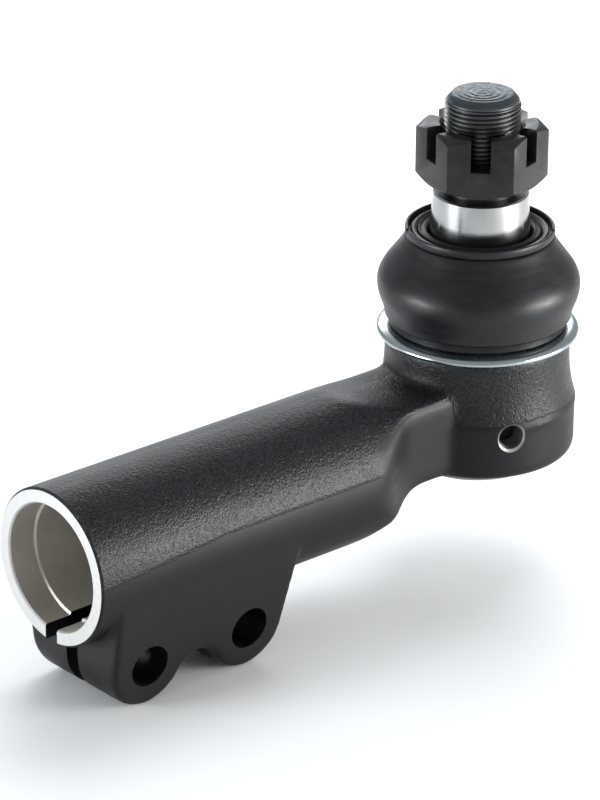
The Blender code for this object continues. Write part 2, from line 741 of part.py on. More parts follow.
def dust_boot(parts, finish):
    outer = boot_outline()
    ring_inner = SPIGOT_RADIUS + 2 * GAP + BASE_RING_WALL
    ring_top = base_ring_z() + BASE_RING_THICKNESS + BASE_RING_UPSTAND
    middle = [(r - BOOT_WALL, z - BOOT_WALL / 2) for r, z in outer[3:-3]]
    inner = [(SEAL_RING_RADIUS + GAP, BOOT_TOP_Z), (SEAL_RING_RADIUS + GAP, BOOT_TOP_Z - BOOT_WALL)]
    inner += middle + [(ring_inner, ring_top), (ring_inner, outer[-1][1])]
    return turned("dust_boot", outer + inner[::-1], parts, finish, True, at=(STUD_X, 0, 0))


def boot_top_ring(parts, finish):
    low = BOOT_TOP_Z + GAP
    high = low + TOP_RING_THICKNESS
    inner = SEAL_RING_RADIUS + GAP
    floor = high - TOP_RING_RECESS
    profile = [
        (inner, floor),
        (TOP_RING_RADIUS - TOP_RING_RIM, floor),
        (TOP_RING_RADIUS - TOP_RING_RIM, high),
        (TOP_RING_RADIUS - RING_EDGE, high),
        (TOP_RING_RADIUS, high - RING_EDGE),
        (TOP_RING_RADIUS, low + RING_EDGE),
        (TOP_RING_RADIUS - RING_EDGE, low),
        (inner, low),
    ]
    return turned("boot_top_ring", profile, parts, finish, True, at=(STUD_X, 0, 0))


def stud_seal_ring(parts, finish):
    high = BOOT_TOP_Z + GAP + TOP_RING_THICKNESS - TOP_RING_RECESS
    low = high - SEAL_RING_HEIGHT
    inner = taper_radius(low) + GAP
    profile = [
        (inner, high - RING_EDGE),
        (inner + SEAL_LIP_WIDTH, high + SEAL_RING_CROWN),
        (SEAL_RING_RADIUS - RING_EDGE, high + SEAL_RING_CROWN),
        (SEAL_RING_RADIUS, high - RING_EDGE),
        (SEAL_RING_RADIUS, low),
        (inner, low),
    ]
    return turned("stud_seal_ring", profile, parts, finish, True, at=(STUD_X, 0, 0))


def joint_axis(name, location):
    empty = bpy.data.objects.new(name, None)
    empty.location = location
    empty.empty_display_size = BALL_RADIUS
    return empty


def hang(parent, *children):
    """Parent pieces to a joint's empty and keep them where they stand."""
    for child in children:
        child.parent = parent
        child.matrix_parent_inverse = Matrix.Translation(-parent.matrix_world.translation)


def main():
    clear_scene()
    parts = new_collection("tie_rod_end")
    cutters = new_collection("cutters", hidden=True)
    paint = material("black_paint", (0.020, 0.021, 0.023), 0.45)
    steel = material("ground_steel", (0.56, 0.57, 0.58), 0.25, 1.0)
    black_oxide = material("black_oxide", (0.030, 0.030, 0.033), 0.35, 0.4)
    rubber = material("black_rubber", (0.018, 0.019, 0.021), 0.55)
    zinc = material("zinc_plate", (0.62, 0.67, 0.68), 0.25, 1.0)
    seat_plastic = material("seat_resin", (0.62, 0.60, 0.52), 0.5)
    spring_steel = material("spring_steel", (0.30, 0.30, 0.31), 0.35, 1.0)
    plug_steel = material("plug_steel", (0.35, 0.36, 0.37), 0.4, 1.0)

    forged_body(parts, cutters, paint)
    upper_ball_seat(parts, seat_plastic)
    lower_ball_seat(parts, seat_plastic)
    preload_spring(parts, spring_steel)
    end_plug(parts, plug_steel)
    plug_seal(parts, rubber)
    boot_base_ring(parts, zinc)
    boot = dust_boot(parts, rubber)
    top_ring = boot_top_ring(parts, rubber)
    seal = stud_seal_ring(parts, rubber)
    stud = ball_stud(parts, cutters, steel)
    nut = castle_nut(parts, cutters, black_oxide)

    center = (STUD_X, 0, BALL_Z)
    tilt_x = joint_axis("tilt_x_axis", center)
    tilt_y = joint_axis("tilt_y_axis", center)
    spin = joint_axis("spin_axis", center)
    for axis in (tilt_x, tilt_y, spin):
        parts.objects.link(axis)
    bpy.context.view_layer.update()
    tilt_y.parent = tilt_x
    tilt_y.matrix_parent_inverse = tilt_x.matrix_world.inverted()
    spin.parent = tilt_y
    spin.matrix_parent_inverse = tilt_y.matrix_world.inverted()
    hang(tilt_x, boot)
    hang(tilt_y, top_ring, seal)
    hang(spin, stud, nut)


main()
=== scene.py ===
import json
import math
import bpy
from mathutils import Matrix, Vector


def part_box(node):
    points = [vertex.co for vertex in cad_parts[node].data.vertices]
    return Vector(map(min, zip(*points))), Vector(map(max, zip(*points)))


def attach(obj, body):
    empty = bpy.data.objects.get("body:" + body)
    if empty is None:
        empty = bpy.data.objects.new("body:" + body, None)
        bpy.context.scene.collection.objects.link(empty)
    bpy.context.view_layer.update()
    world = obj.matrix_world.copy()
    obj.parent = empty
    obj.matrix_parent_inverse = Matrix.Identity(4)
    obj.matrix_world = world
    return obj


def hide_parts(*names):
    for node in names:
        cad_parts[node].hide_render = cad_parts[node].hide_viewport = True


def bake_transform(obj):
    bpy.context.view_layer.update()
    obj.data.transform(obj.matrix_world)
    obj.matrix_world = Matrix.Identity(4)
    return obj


bl_info = {
    "name": "Tie Rod End Builder",
    "version": (1, 0, 0),
    "blender": (4, 5, 0),
    "location": "View3D > Sidebar > Tie Rod",
    "description": "Builds a finished tie rod end around its working model, one piece at a time",
    "category": "Object",
}

import bpy
from bpy.props import FloatProperty, FloatVectorProperty, IntProperty, PointerProperty
from mathutils import Matrix, Vector

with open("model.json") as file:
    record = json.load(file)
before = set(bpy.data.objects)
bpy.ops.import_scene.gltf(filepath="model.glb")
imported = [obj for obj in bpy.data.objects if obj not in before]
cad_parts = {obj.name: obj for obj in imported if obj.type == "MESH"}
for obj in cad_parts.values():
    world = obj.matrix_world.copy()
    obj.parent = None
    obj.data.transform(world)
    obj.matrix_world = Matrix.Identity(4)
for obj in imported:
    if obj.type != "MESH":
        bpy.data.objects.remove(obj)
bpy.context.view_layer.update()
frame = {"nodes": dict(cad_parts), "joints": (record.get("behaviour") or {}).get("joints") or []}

# Places taken from the working model
SPIN = next(joint for joint in frame["joints"] if joint["name"] == "stud_spin")
STUD_X, _, BALL_Z = SPIN["pos_m"]
BODY_LOW, BODY_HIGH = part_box("forged_body")
STUD_LOW, STUD_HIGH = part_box("ball_stud")
NUT_LOW, NUT_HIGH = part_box("castle_nut")
BOOT_LOW, BOOT_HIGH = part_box("dust_boot")
RING_LOW, RING_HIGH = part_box("boot_base_ring")
TOP_LOW, TOP_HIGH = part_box("boot_top_ring")
SEAL_LOW, SEAL_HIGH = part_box("stud_seal_ring")
PLUG_LOW, PLUG_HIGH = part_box("end_plug")

CENTER = (STUD_X, 0.0, 0.0)
MERGE = 0.000002
ON_PLANE = 0.0000001
SMALLEST = 0.001
BEFORE_MOUTH = -0.01


# ---------------------------------------------------------------- settings


def length(name, description, default):
    return FloatProperty(
        name=name, description=description, default=default, min=0.0, unit="LENGTH", precision=5
    )


def place(name, description, default):
    return FloatProperty(name=name, description=description, default=default, unit="LENGTH", precision=5)


def angle(name, description, degrees):
    return FloatProperty(name=name, description=description, default=math.radians(degrees), subtype="ANGLE")


def strength(name, description, default):
    return FloatProperty(name=name, description=description, default=default)


def color(name, description, default):
    return FloatVectorProperty(
        name=name, description=description, default=default, size=3, min=0.0, max=1.0, subtype="COLOR"
    )


class ForgingSettings(bpy.types.PropertyGroup):
    tube_radius: length("Tube radius", "Outer radius of the socket tube", 0.0250)
    bore_radius: length("Bore radius", "Radius of the socket's bore", 0.0192)
    counterbore_radius: length("Counterbore radius", "Radius of the wider bore at the mouth", 0.0200)
    counterbore_depth: length("Counterbore depth", "Depth of the wider bore at the mouth", 0.0098)
    bore_depth: length("Bore depth", "Depth of the bore's straight wall", 0.1000)
    mouth_face_radius: length(
        "Mouth face radius", "Outer radius of the bare turned ring at the mouth", 0.0243
    )
    mouth_chamfer: length("Mouth chamfer", "Edge break inside the mouth", 0.0005)
    slit_width: length("Slit width", "Width of the clamping slit", 0.0055)
    slit_length: length("Slit length", "Length of the clamping slit", 0.0980)
    lug_front: place("Lug front", "Place of the lugs' front face", 0.0078)
    bolt_spacing: length("Bolt spacing", "Distance between the clamp bolts", 0.0392)
    bolt_drop: length("Bolt drop", "Distance of the clamp bolts below the socket's axis", 0.0321)
    boss_radius: length("Boss radius", "Radius of the lug round each bolt", 0.0137)
    arch_radius: length("Arch radius", "Radius of the arch between the bosses", 0.0080)
    bolt_hole_radius: length("Bolt hole radius", "Radius of the clamp bolts' holes", 0.0069)
    lug_edge: length("Lug edge", "Width of the lugs' rounded edges", 0.0012)
    lug_draft: angle("Lug draft", "Lean of the lugs' sides", 8.5)
    lug_back_lean: angle("Lug back lean", "Lean of the lugs' back edge", 11.0)
    arm_half_width: length("Arm half width", "Half width of the arm at the housing", 0.0172)
    arm_top: place("Arm top", "Height of the arm's flat top", 0.0200)
    arm_bottom: place("Arm bottom", "Height of the arm's underside", -0.0082)
    shoulder_start: place("Shoulder start", "Where the tube starts to narrow", 0.1080)
    shoulder_length: length("Shoulder length", "Length over which the tube narrows", 0.0240)
    sweep_start: place("Sweep start", "Where the underside starts to rise", 0.1030)
    sweep_length: length("Sweep length", "Length over which the underside rises", 0.0325)
    top_fall_length: length("Top fall", "Length over which the tube's top falls to the arm's top", 0.0300)
    band_radius: length("Band radius", "Radius of the housing's lower band", 0.0317)
    housing_top_radius: length("Housing top radius", "Radius of the housing under its ring", 0.0295)
    parting_height: place("Parting height", "Height of the parting line round the housing", 0.0074)
    skin_grid: length("Skin grid", "Grid size of the forged skin's mesh", 0.00076)
    skin_rounds: IntProperty(
        name="Skin rounds", description="Rounds of smoothing on the forged skin", default=12, min=0
    )
    arm_rounds: IntProperty(
        name="Arm rounds", description="Further rounds that blend the arm", default=60, min=0
    )
    grease_hole_radius: length("Grease hole radius", "Radius of the grease nipple's thread", 0.0042)
    grease_hole_height: place("Grease hole height", "Height of the grease nipple's hole", 0.0052)
    grease_hole_turn: angle("Grease hole turn", "Turn of the grease hole round the housing", -22.0)


class StudSettings(bpy.types.PropertyGroup):
    thread_radius: length("Thread radius", "Outer radius of the stud's thread", 0.0120)
    thread_pitch: length("Thread pitch", "Pitch of the stud's thread", 0.0015)
    thread_depth: length("Thread depth", "Depth of the stud's thread", 0.00085)
    taper_large_radius: length("Taper large radius", "Radius at the taper's wide end", 0.0164)
    taper_large_height: place("Taper large height", "Height of the taper's wide end", 0.0560)
    taper_small_radius: length("Taper small radius", "Radius at the taper's narrow end", 0.01515)
    taper_small_height: place("Taper small height", "Height of the taper's narrow end", 0.0773)
    neck_radius: length("Neck radius", "Radius of the neck above the ball", 0.0105)
    neck_height: place("Neck height", "Height where the neck starts to widen", 0.0415)
    ball_radius: length("Ball radius", "Radius of the ball", 0.0180)
    cotter_hole_radius: length("Cotter hole radius", "Radius of the split pin's hole", 0.0025)
    nut_across_flats: length("Nut across flats", "Width of the nut across its flats", 0.0360)
    nut_slot_width: length("Nut slot width", "Width of the nut's slots", 0.0062)
    nut_slot_depth: length("Nut slot depth", "Depth of the nut's slots", 0.0103)
    nut_turn: angle("Nut turn", "Direction of the nut's first flat", 45.4)
    nut_edge: length(
        "Nut edge", "Width asked for the nut's worn edges; the bevel's clamp leaves almost none", 0.00034
    )


class BootSettings(bpy.types.PropertyGroup):
    wall: length("Wall", "Thickness of the boot's rubber", 0.0022)
    bulge_radius: length("Bulge radius", "Widest radius of the boot", 0.0322)
    bulge_height: place("Bulge height", "Height of the boot's widest part", 0.0468)
    shoulder_radius: length("Shoulder radius", "Radius under the top ring", 0.0236)
    collar_radius: length("Collar radius", "Radius of the boot's foot", 0.0284)
    ring_radius: length("Ring radius", "Outer radius of the plated ring", 0.03225)
    spigot_radius: length("Spigot radius", "Radius of the housing's spigot inside the ring", 0.0246)
    top_ring_radius: length("Top ring radius", "Outer radius of the boot's top ring", 0.0237)
    seal_radius: length("Seal radius", "Outer radius of the seal round the stud", 0.0196)
    plug_radius: length("Plug radius", "Outer radius of the end plug", 0.0215)


class FinishSettings(bpy.types.PropertyGroup):
    paint: color("Paint", "Black paint of the forging", (0.0042, 0.0044, 0.0052))
    bare_steel: color("Bare steel", "Turned steel at the socket's mouth", (0.56, 0.56, 0.545))
    bore_steel: color("Bore steel", "Machined steel inside the socket", (0.55, 0.52, 0.465))
    ground_steel: color("Ground steel", "Ground steel of the stud's taper", (0.45, 0.455, 0.455))
    oiled_steel: color("Oiled steel", "Dark oiled steel of the thread", (0.095, 0.098, 0.10))
    tip_steel: color("Tip steel", "Faced steel of the stud's end", (0.078, 0.088, 0.098))
    oxide: color("Oxide", "Black oxide of the nut", (0.0085, 0.0086, 0.0092))
    rubber: color("Rubber", "Rubber of the boot", (0.0052, 0.0056, 0.0070))
    zinc: color("Zinc", "Zinc plate of the boot's ring", (0.46, 0.52, 0.53))
    plug_steel: color("Plug steel", "Pressed steel of the end plug", (0.36, 0.37, 0.37))
    resin: color("Resin", "Bearing resin of the ball seats", (0.030, 0.029, 0.027))
    spring_steel: color("Spring steel", "Blued steel of the disc spring", (0.22, 0.23, 0.27))


class StageSettings(bpy.types.PropertyGroup):
    view_turn: angle("View turn", "Turn of the camera round the part", -41.24)
    view_rise: angle("View rise", "Rise of the camera over the part", 24.07)
    view_roll: angle("View roll", "Roll of the camera", 0.47)
    camera_place: FloatVectorProperty(
        name="Camera place",
        description="Where the camera stands",
        default=(-0.7379, -0.9540, 0.5932),
        unit="LENGTH",
    )
    lens: FloatProperty(name="Lens", description="Focal length in millimetres", default=202.5)
    floor_color: color("Floor color", "Colour of the floor", (0.92, 0.925, 0.93))
    sky_color: color("Sky color", "Colour of the surrounding light", (0.93, 0.97, 1.0))
    sky_strength: strength("Sky strength", "Strength of the surrounding light", 0.46)
    top_power: strength("Top power", "Power of the top light in watts", 10.0)
    right_power: strength("Right power", "Power of the right light in watts", 8.8)
    left_power: strength("Left power", "Power of the left light in watts", 6.2)
    back_power: strength("Back power", "Power of the back light in watts", 2.2)


SETTINGS = {
    "tie_rod_forging": ForgingSettings,
    "tie_rod_stud": StudSettings,
    "tie_rod_boot": BootSettings,
    "tie_rod_finish": FinishSettings,
    "tie_rod_stage": StageSettings,
}


# ---------------------------------------------------------------- modelling helpers


def pick(obj):
    """Makes one object the only selected one."""
    bpy.ops.object.select_all(action="DESELECT")
    obj.select_set(True)
    bpy.context.view_layer.objects.active = obj
    return obj


def added(name):
    """Names the object that an add operator has just made and takes its place into its mesh."""
    obj = pick(bpy.context.active_object)
    obj.name = name
    obj.data.name = name
    bpy.ops.object.transform_apply(location=True, rotation=True, scale=True)
    return obj


def edit(obj):
    pick(obj)
    bpy.ops.object.mode_set(mode="EDIT")


def done():
    bpy.ops.object.mode_set(mode="OBJECT")


def rod(name, radius, start, end, sides=96):
    """A cylinder from one point to another."""
    start, end = Vector(start), Vector(end)
    along = end - start
    bpy.ops.mesh.primitive_cone_add(
        vertices=sides,
        radius1=radius,
        radius2=radius,
        depth=along.length,
        location=(start + end) / 2,
        rotation=along.to_track_quat("Z", "Y").to_euler(),
    )
    return added(name)


def block(name, low, high):
    """A box between two opposite corners."""
    low, high = Vector(low), Vector(high)
    bpy.ops.mesh.primitive_cube_add(size=1.0, location=(low + high) / 2, scale=high - low)
    return added(name)


def turned(obj, angle_value, axis, center=(0, 0, 0)):
    """Turns a piece about an axis through a point; the operator itself turns the other way."""
    pick(obj)
    bpy.ops.transform.rotate(value=-angle_value, orient_axis=axis, center_override=center)
    bpy.ops.object.transform_apply(location=True, rotation=True, scale=True)
    return obj


def shifted(obj, offset):
    pick(obj)
    bpy.ops.transform.translate(value=offset)
    bpy.ops.object.transform_apply(location=True, rotation=True, scale=True)
    return obj


def copied(obj):
    """A copy of a piece with its own mesh."""
    pick(obj)
    bpy.ops.object.duplicate(linked=False)
    return bpy.context.active_object


def draw_line(moves):
    """Draws on from the selected point, one move at a time."""
    for move in moves:
        bpy.ops.mesh.extrude_vertices_move(TRANSFORM_OT_translate={"value": move})


def profile_moves(profile):
    """Moves along a profile of (radius, height) points."""
    return [(r1 - r0, 0, z1 - z0) for (r0, z0), (r1, z1) in zip(profile, profile[1:])]


def drawn(name, start, moves):
    """Draws a new piece's first line and leaves it in edit mode."""
    bpy.ops.mesh.primitive_plane_add(size=SMALLEST, location=start)
    obj = added(name)
    edit(obj)
    bpy.ops.mesh.select_mode(type="VERT")
    bpy.ops.mesh.select_all(action="SELECT")
    bpy.ops.mesh.merge(type="CENTER")
    draw_line(moves)
    return obj


def slab(name, outline, across):
    """Draws a closed flat outline point by point, fills it and extrudes it."""
    moves = [Vector(second) - Vector(first) for first, second in zip(outline, outline[1:])]
    obj = drawn(name, outline[0], moves)
    bpy.ops.mesh.select_all(action="SELECT")
    bpy.ops.mesh.edge_face_add()
    bpy.ops.mesh.extrude_region_move(TRANSFORM_OT_translate={"value": across})
    bpy.ops.mesh.select_all(action="SELECT")
    bpy.ops.mesh.normals_make_consistent(inside=False)
    done()
    return obj


def apply_modifier(obj, kind, **values):
    pick(obj)
    modifier = obj.modifiers.new(kind.lower(), kind)
    for key, value in values.items():
        setattr(modifier, key, value)
    bpy.ops.object.modifier_apply(modifier=modifier.name)
    return obj


def sealed(obj):
    """Passes a piece on if its mesh is closed all round, and stops the build if it isn't."""
    edit(obj)
    bpy.ops.mesh.select_mode(type="VERT")
    bpy.ops.mesh.select_all(action="DESELECT")
    bpy.ops.mesh.select_non_manifold()
    done()
    open_points = sum(vertex.select for vertex in obj.data.vertices)
    if open_points or not obj.data.polygons:
        raise RuntimeError(f"{obj.name} isn't a closed solid: {open_points} points lie on open edges")
    return obj


def merge_doubles(obj):
    """Merges points that lie on each other."""
    edit(obj)
    bpy.ops.mesh.select_all(action="SELECT")
    bpy.ops.mesh.remove_doubles(threshold=MERGE)
    done()
    return obj


def combine(obj, operation, *others):
    """Joins, cuts or trims a piece by others, which are used up."""
    for other in others:
        apply_modifier(obj, "BOOLEAN", operation=operation, solver="EXACT", object=other)
        bpy.data.objects.remove(other, do_unlink=True)
        merge_doubles(obj)
    return sealed(obj)


def spun(name, profile, at=CENTER, steps=128, closed=False):
    """Draws a profile of (radius, height) points beside an upright axis and spins it once round."""
    radius, height = profile[0]
    start = Vector((at[0] + radius, at[1], at[2] + height))
    line = [*profile, profile[0]] if closed else profile
    obj = drawn(name, start, profile_moves(line))
    bpy.ops.mesh.select_all(action="SELECT")
    bpy.ops.mesh.spin(steps=steps, angle=math.tau, center=at, axis=(0, 0, 1))
    bpy.ops.mesh.select_all(action="SELECT")
    bpy.ops.mesh.remove_doubles(threshold=MERGE)
    bpy.ops.mesh.normals_make_consistent(inside=False)
    done()
    return sealed(obj)


def arc(center, radius, start, end, count):
    """Points of a circle between two angles in degrees, ends included."""
    turns = [math.radians(start + (end - start) * i / count) for i in range(count + 1)]
    return [(center[0] + radius * math.cos(t), center[1] + radius * math.sin(t)) for t in turns]


def ease(start, end, share):
    """A smooth change from one value to another."""
    share = min(max(share, 0.0), 1.0)
    return start + (end - start) * share * share * (3 - 2 * share)


def softened(obj, angle_degrees=30.0):
    pick(obj)
    bpy.ops.object.shade_smooth_by_angle(angle=math.radians(angle_degrees))
    return obj


def cut_flat(obj, point, normal):
    """Cuts a piece off flat on the side that the normal points to, and closes the cut."""
    edit(obj)
    bpy.ops.mesh.select_all(action="SELECT")
    bpy.ops.mesh.bisect(
        plane_co=point, plane_no=normal, use_fill=True, clear_outer=True, threshold=ON_PLANE
    )
    done()
    return obj


def paint_faces(obj, finishes, chosen):
    """Gives a piece its finishes; chosen(face) tells which one a face takes."""
    obj.data.materials.clear()
    for finish in finishes:
        obj.data.materials.append(finish)
    for face in obj.data.polygons:
        face.material_index = chosen(face)


def threaded_rod(name, radius, depth, pitch, low, high, at, steps=72):
    """A rod with a true helical thread between two heights, closed flat at both ends."""
    crest, root = pitch * 0.16, pitch * 0.12
    flank = (pitch - crest - root) / 2
    shape = [(radius, 0), (radius, crest), (radius - depth, crest + flank)]
    shape += [(radius - depth, crest + flank + root), (radius, pitch)]
    bpy.ops.mesh.primitive_plane_add(size=SMALLEST, location=(at[0], at[1], at[2]))
    obj = pick(bpy.context.active_object)
    obj.name = name
    edit(obj)
    bpy.ops.mesh.select_all(action="SELECT")
    bpy.ops.mesh.merge(type="CENTER")
    bpy.ops.transform.translate(value=(radius, 0, low - 1.5 * pitch))
    draw_line(profile_moves(shape))
    done()
    turns = math.ceil((high - low) / pitch) + 2
    apply_modifier(obj, "SCREW", steps=steps, render_steps=steps, screw_offset=pitch, iterations=turns)
    merge_doubles(obj)
    pick(obj)
    bpy.ops.object.transform_apply(location=True, rotation=True, scale=True)
    cut_flat(obj, (at[0], at[1], at[2] + high), (0, 0, 1))
    cut_flat(obj, (at[0], at[1], at[2] + low), (0, 0, -1))
    edit(obj)
    bpy.ops.mesh.select_all(action="SELECT")
    bpy.ops.mesh.normals_make_consistent(inside=False)
    done()
    return sealed(obj)


# ---------------------------------------------------------------- finishes


class Finish:
    """A material with a Principled shader and short calls for its nodes."""

    def __init__(self, name):
        self.material = bpy.data.materials.new(name)
        self.material.use_nodes = True
        self.tree = self.material.node_tree
        self.shader = self.tree.nodes["Principled BSDF"]
        self.where = self.node("ShaderNodeTexCoord").outputs["Object"]

    def node(self, kind, inputs=None, **values):
        made = self.tree.nodes.new(kind)
        for key, value in values.items():
            setattr(made, key, value)
        for key, value in (inputs or {}).items():
            if isinstance(value, bpy.types.NodeSocket):
                self.tree.links.new(value, made.inputs[key])
            else:
                made.inputs[key].default_value = value
        return made

    def plain(self, **values):
        """Constants, set on the shader's own sockets."""
        names = {"ior": "IOR", "coat": "Coat Weight", "specular": "Specular IOR Level"}
        for key, value in values.items():
            socket = names.get(key, key.replace("_", " ").title())
            self.shader.inputs[socket].default_value = value
        return self

    def feed(self, name, socket):
        self.tree.links.new(socket, self.shader.inputs[name])

    def math(self, operation, a, b=0.0):
        return self.node("ShaderNodeMath", {0: a, 1: b}, operation=operation).outputs[0]

    def noise(self, scale, detail=2.0, roughness=0.5, where=None):
        at = where or self.where
        inputs = {"Vector": at, "Scale": scale, "Detail": detail, "Roughness": roughness}
        return self.node("ShaderNodeTexNoise", inputs).outputs["Fac"]

    def stretched(self, scale):
        return self.node("ShaderNodeMapping", {"Vector": self.where, "Scale": scale}).outputs[0]

    def between(self, value, low, high, to_low=0.0, to_high=1.0):
        inputs = {"Value": value, "From Min": low, "From Max": high, "To Min": to_low, "To Max": to_high}
        made = self.node("ShaderNodeMapRange", inputs, interpolation_type="SMOOTHSTEP")
        return made.outputs["Result"]

    def tint(self, share, first, second):
        mixed = self.node("ShaderNodeMix", data_type="RGBA")
        self.tree.links.new(share, mixed.inputs[0])
        mixed.inputs[6].default_value = (*first, 1.0)
        mixed.inputs[7].default_value = (*second, 1.0)
        self.feed("Base Color", mixed.outputs[2])

    def relief(self, height, depth):
        inputs = {"Height": height, "Distance": depth, "Strength": 1.0}
        return self.node("ShaderNodeBump", inputs).outputs["Normal"]

    def distance_from_axis(self, axis, through):
        """Distance of a point from a line along X or Z through another, and its offset from that one."""
        flat = (0, 1, 1) if axis == "X" else (1, 1, 0)
        kind = "ShaderNodeVectorMath"
        shift = self.node(kind, {0: self.where, 1: through}, operation="SUBTRACT").outputs[0]
        pressed = self.node(kind, {0: shift, 1: flat}, operation="MULTIPLY").outputs[0]
        return self.node(kind, {0: pressed}, operation="LENGTH").outputs["Value"], shift


def shade(value, factor):
    return tuple(min(channel * factor, 1.0) for channel in value)


def forging_paint(colors):
    """Black paint over rough forged skin above the parting line and a smoother flank below it."""
    finish = Finish("body_paint")
    rough = finish.node("ShaderNodeAttribute", attribute_name="forged_skin").outputs["Fac"]
    grain = finish.noise(1500.0, 3.0, 0.6)
    lumps = finish.noise(620.0, 2.0, 0.5)
    pits = finish.between(finish.noise(820.0, 1.0, 0.5), 0.56, 0.74)
    streaks = finish.noise(260.0, 3.0, 0.6, finish.stretched((0.12, 1.0, 1.0)))
    skin = finish.math("ADD", grain, finish.math("MULTIPLY", lumps, 0.8))
    skin = finish.math("SUBTRACT", skin, finish.math("MULTIPLY", pits, 0.35))
    skin = finish.math("MULTIPLY", skin, finish.math("ADD", finish.math("MULTIPLY", rough, 0.93), 0.07))
    finish.feed("Normal", finish.relief(skin, 0.00020))
    # Lighter grain flecks on the rough skin, up to 4.4 times the paint's tone: a painted highlight, set
    # strong enough to brighten the skin's highlight band.
    worn_and_glinting = finish.math("MULTIPLY", finish.between(grain, 0.35, 0.65), rough)
    finish.tint(worn_and_glinting, shade(colors.paint, 0.7), shade(colors.paint, 4.4))
    gloss = finish.between(streaks, 0.3, 0.7, -0.04, 0.05)
    gloss = finish.math("ADD", gloss, finish.math("MULTIPLY", rough, -0.10))
    finish.feed("Roughness", finish.math("ADD", gloss, 0.46))
    return finish.plain(specular=0.27).material


def turned_steel(name, tone, roughness, axis, through, pitch, depth, patch=0.06, metallic=1.0):
    """Bare steel with fine turning lines round an axis."""
    finish = Finish(name)
    reach, shift = finish.distance_from_axis(axis, through)
    parts = finish.node("ShaderNodeSeparateXYZ", {0: shift})
    along = parts.outputs["X"] if axis == "X" else parts.outputs["Z"]
    run = finish.math("ADD", reach, along)
    wobble = finish.noise(90.0, 2.0)
    phase = finish.math("ADD", finish.math("MULTIPLY", run, math.tau / pitch), wobble)
    lines = finish.math("SINE", phase)
    scratch = finish.math("MULTIPLY", finish.math("SINE", finish.math("MULTIPLY", phase, 0.23)), 0.6)
    finish.feed("Normal", finish.relief(finish.math("ADD", lines, scratch), depth))
    stains = finish.noise(140.0, 4.0, 0.6)
    finish.tint(finish.between(stains, 0.3, 0.75), tone, shade(tone, 0.86))
    finish.feed("Roughness", finish.between(stains, 0.3, 0.7, roughness - patch / 2, roughness + patch))
    return finish.plain(metallic=metallic).material


def tip_face(colors):
    """Faced end of the stud: a shallow spiral left by the turning tool."""
    finish, spiral_pitch = Finish("stud_end_steel"), 0.0021
    reach, shift = finish.distance_from_axis("Z", CENTER)
    parts = finish.node("ShaderNodeSeparateXYZ", {0: shift})
    turn = finish.math("ARCTAN2", parts.outputs["Y"], parts.outputs["X"])
    wobble = finish.math("MULTIPLY", finish.noise(160.0, 2.0), 2.2)
    phase = finish.math("ADD", finish.math("MULTIPLY", reach, math.tau / spiral_pitch), turn)
    groove = finish.math("SINE", finish.math("ADD", phase, wobble))
    finish.feed("Normal", finish.relief(groove, 0.00006))
    # The spiral's grooves are painted darker and its ridges lighter: painted shade and painted highlight
    # along the turning marks.
    dark, light = shade(colors.tip_steel, 0.85), shade(colors.tip_steel, 1.12)
    finish.tint(finish.between(groove, -0.4, 1.0), dark, light)
    finish.feed("Roughness", finish.between(finish.noise(500.0), 0.3, 0.7, 0.34, 0.48))
    return finish.plain(metallic=0.85).material


def black_oxide(colors):
    finish = Finish("black_oxide")
    grain = finish.noise(1500.0, 3.0, 0.6)
    mottle = finish.noise(210.0, 3.0, 0.6)
    finish.tint(finish.between(mottle, 0.35, 0.7), colors.oxide, shade(colors.oxide, 1.7))
    finish.feed("Normal", finish.relief(grain, 0.00004))
    finish.feed("Roughness", finish.between(mottle, 0.3, 0.7, 0.30, 0.42))
    return finish.plain(metallic=0.08, specular=0.34).material


def rubber(name, tone, low, high):
    """Moulded rubber: fine grain, faint flow marks and slightly uneven gloss."""
    finish = Finish(name)
    grain = finish.noise(1900.0, 2.0, 0.5)
    flow = finish.noise(120.0, 3.0, 0.55, finish.stretched((1.0, 1.0, 4.0)))
    finish.tint(finish.between(flow, 0.3, 0.7), tone, shade(tone, 1.6))
    finish.feed("Normal", finish.relief(grain, 0.00002))
    finish.feed("Roughness", finish.between(flow, 0.3, 0.7, low, high))
    return finish.plain(specular=0.34).material


def zinc_plate(colors):
    finish = Finish("zinc_plate")
    cloud = finish.noise(85.0, 3.0, 0.5)
    finish.tint(finish.between(cloud, 0.35, 0.7), colors.zinc, shade(colors.zinc, 0.9))
    finish.feed("Normal", finish.relief(finish.noise(700.0), 0.00001))
    finish.feed("Roughness", finish.between(cloud, 0.3, 0.7, 0.20, 0.29))
    return finish.plain(metallic=1.0).material


def resin(colors):
    finish = Finish("seat_resin")
    cloud = finish.noise(160.0, 3.0, 0.5)
    finish.tint(finish.between(cloud, 0.3, 0.7), colors.resin, shade(colors.resin, 0.85))
    finish.feed("Normal", finish.relief(finish.noise(900.0), 0.00002))
    finish.feed("Roughness", finish.between(cloud, 0.3, 0.7, 0.42, 0.55))
    return finish.material


def dress(node, material):
    """Gives a carried-over node its finish."""
    carried = frame["nodes"][node]
    carried.data.materials.clear()
    carried.data.materials.append(material)


# ---------------------------------------------------------------- forged body

PAINT, MOUTH, BORE, DRILLED = range(4)


def stations(sizes):
    """Places along the arm at which its outlines are drawn."""
    count = 60
    start = min(sizes.sweep_start, sizes.shoulder_start) - 0.001
    return [start + (STUD_X - start) * i / count for i in range(count + 1)]


def arm_plan(sizes):
    """Cutter that narrows the tube in plan on its way to the housing."""
    widest, tall = sizes.tube_radius * 1.02, 0.06
    half = {
        x: ease(widest, sizes.arm_half_width, (x - sizes.shoulder_start) / sizes.shoulder_length)
        for x in stations(sizes)
    }
    far = [(BEFORE_MOUTH, widest, -tall / 2)] + [(x, y, -tall / 2) for x, y in half.items()]
    near = [(x, -y, -tall / 2) for x, y in reversed(half.items())] + [(BEFORE_MOUTH, -widest, -tall / 2)]
    return slab("arm_plan", far + near, (0, 0, tall))


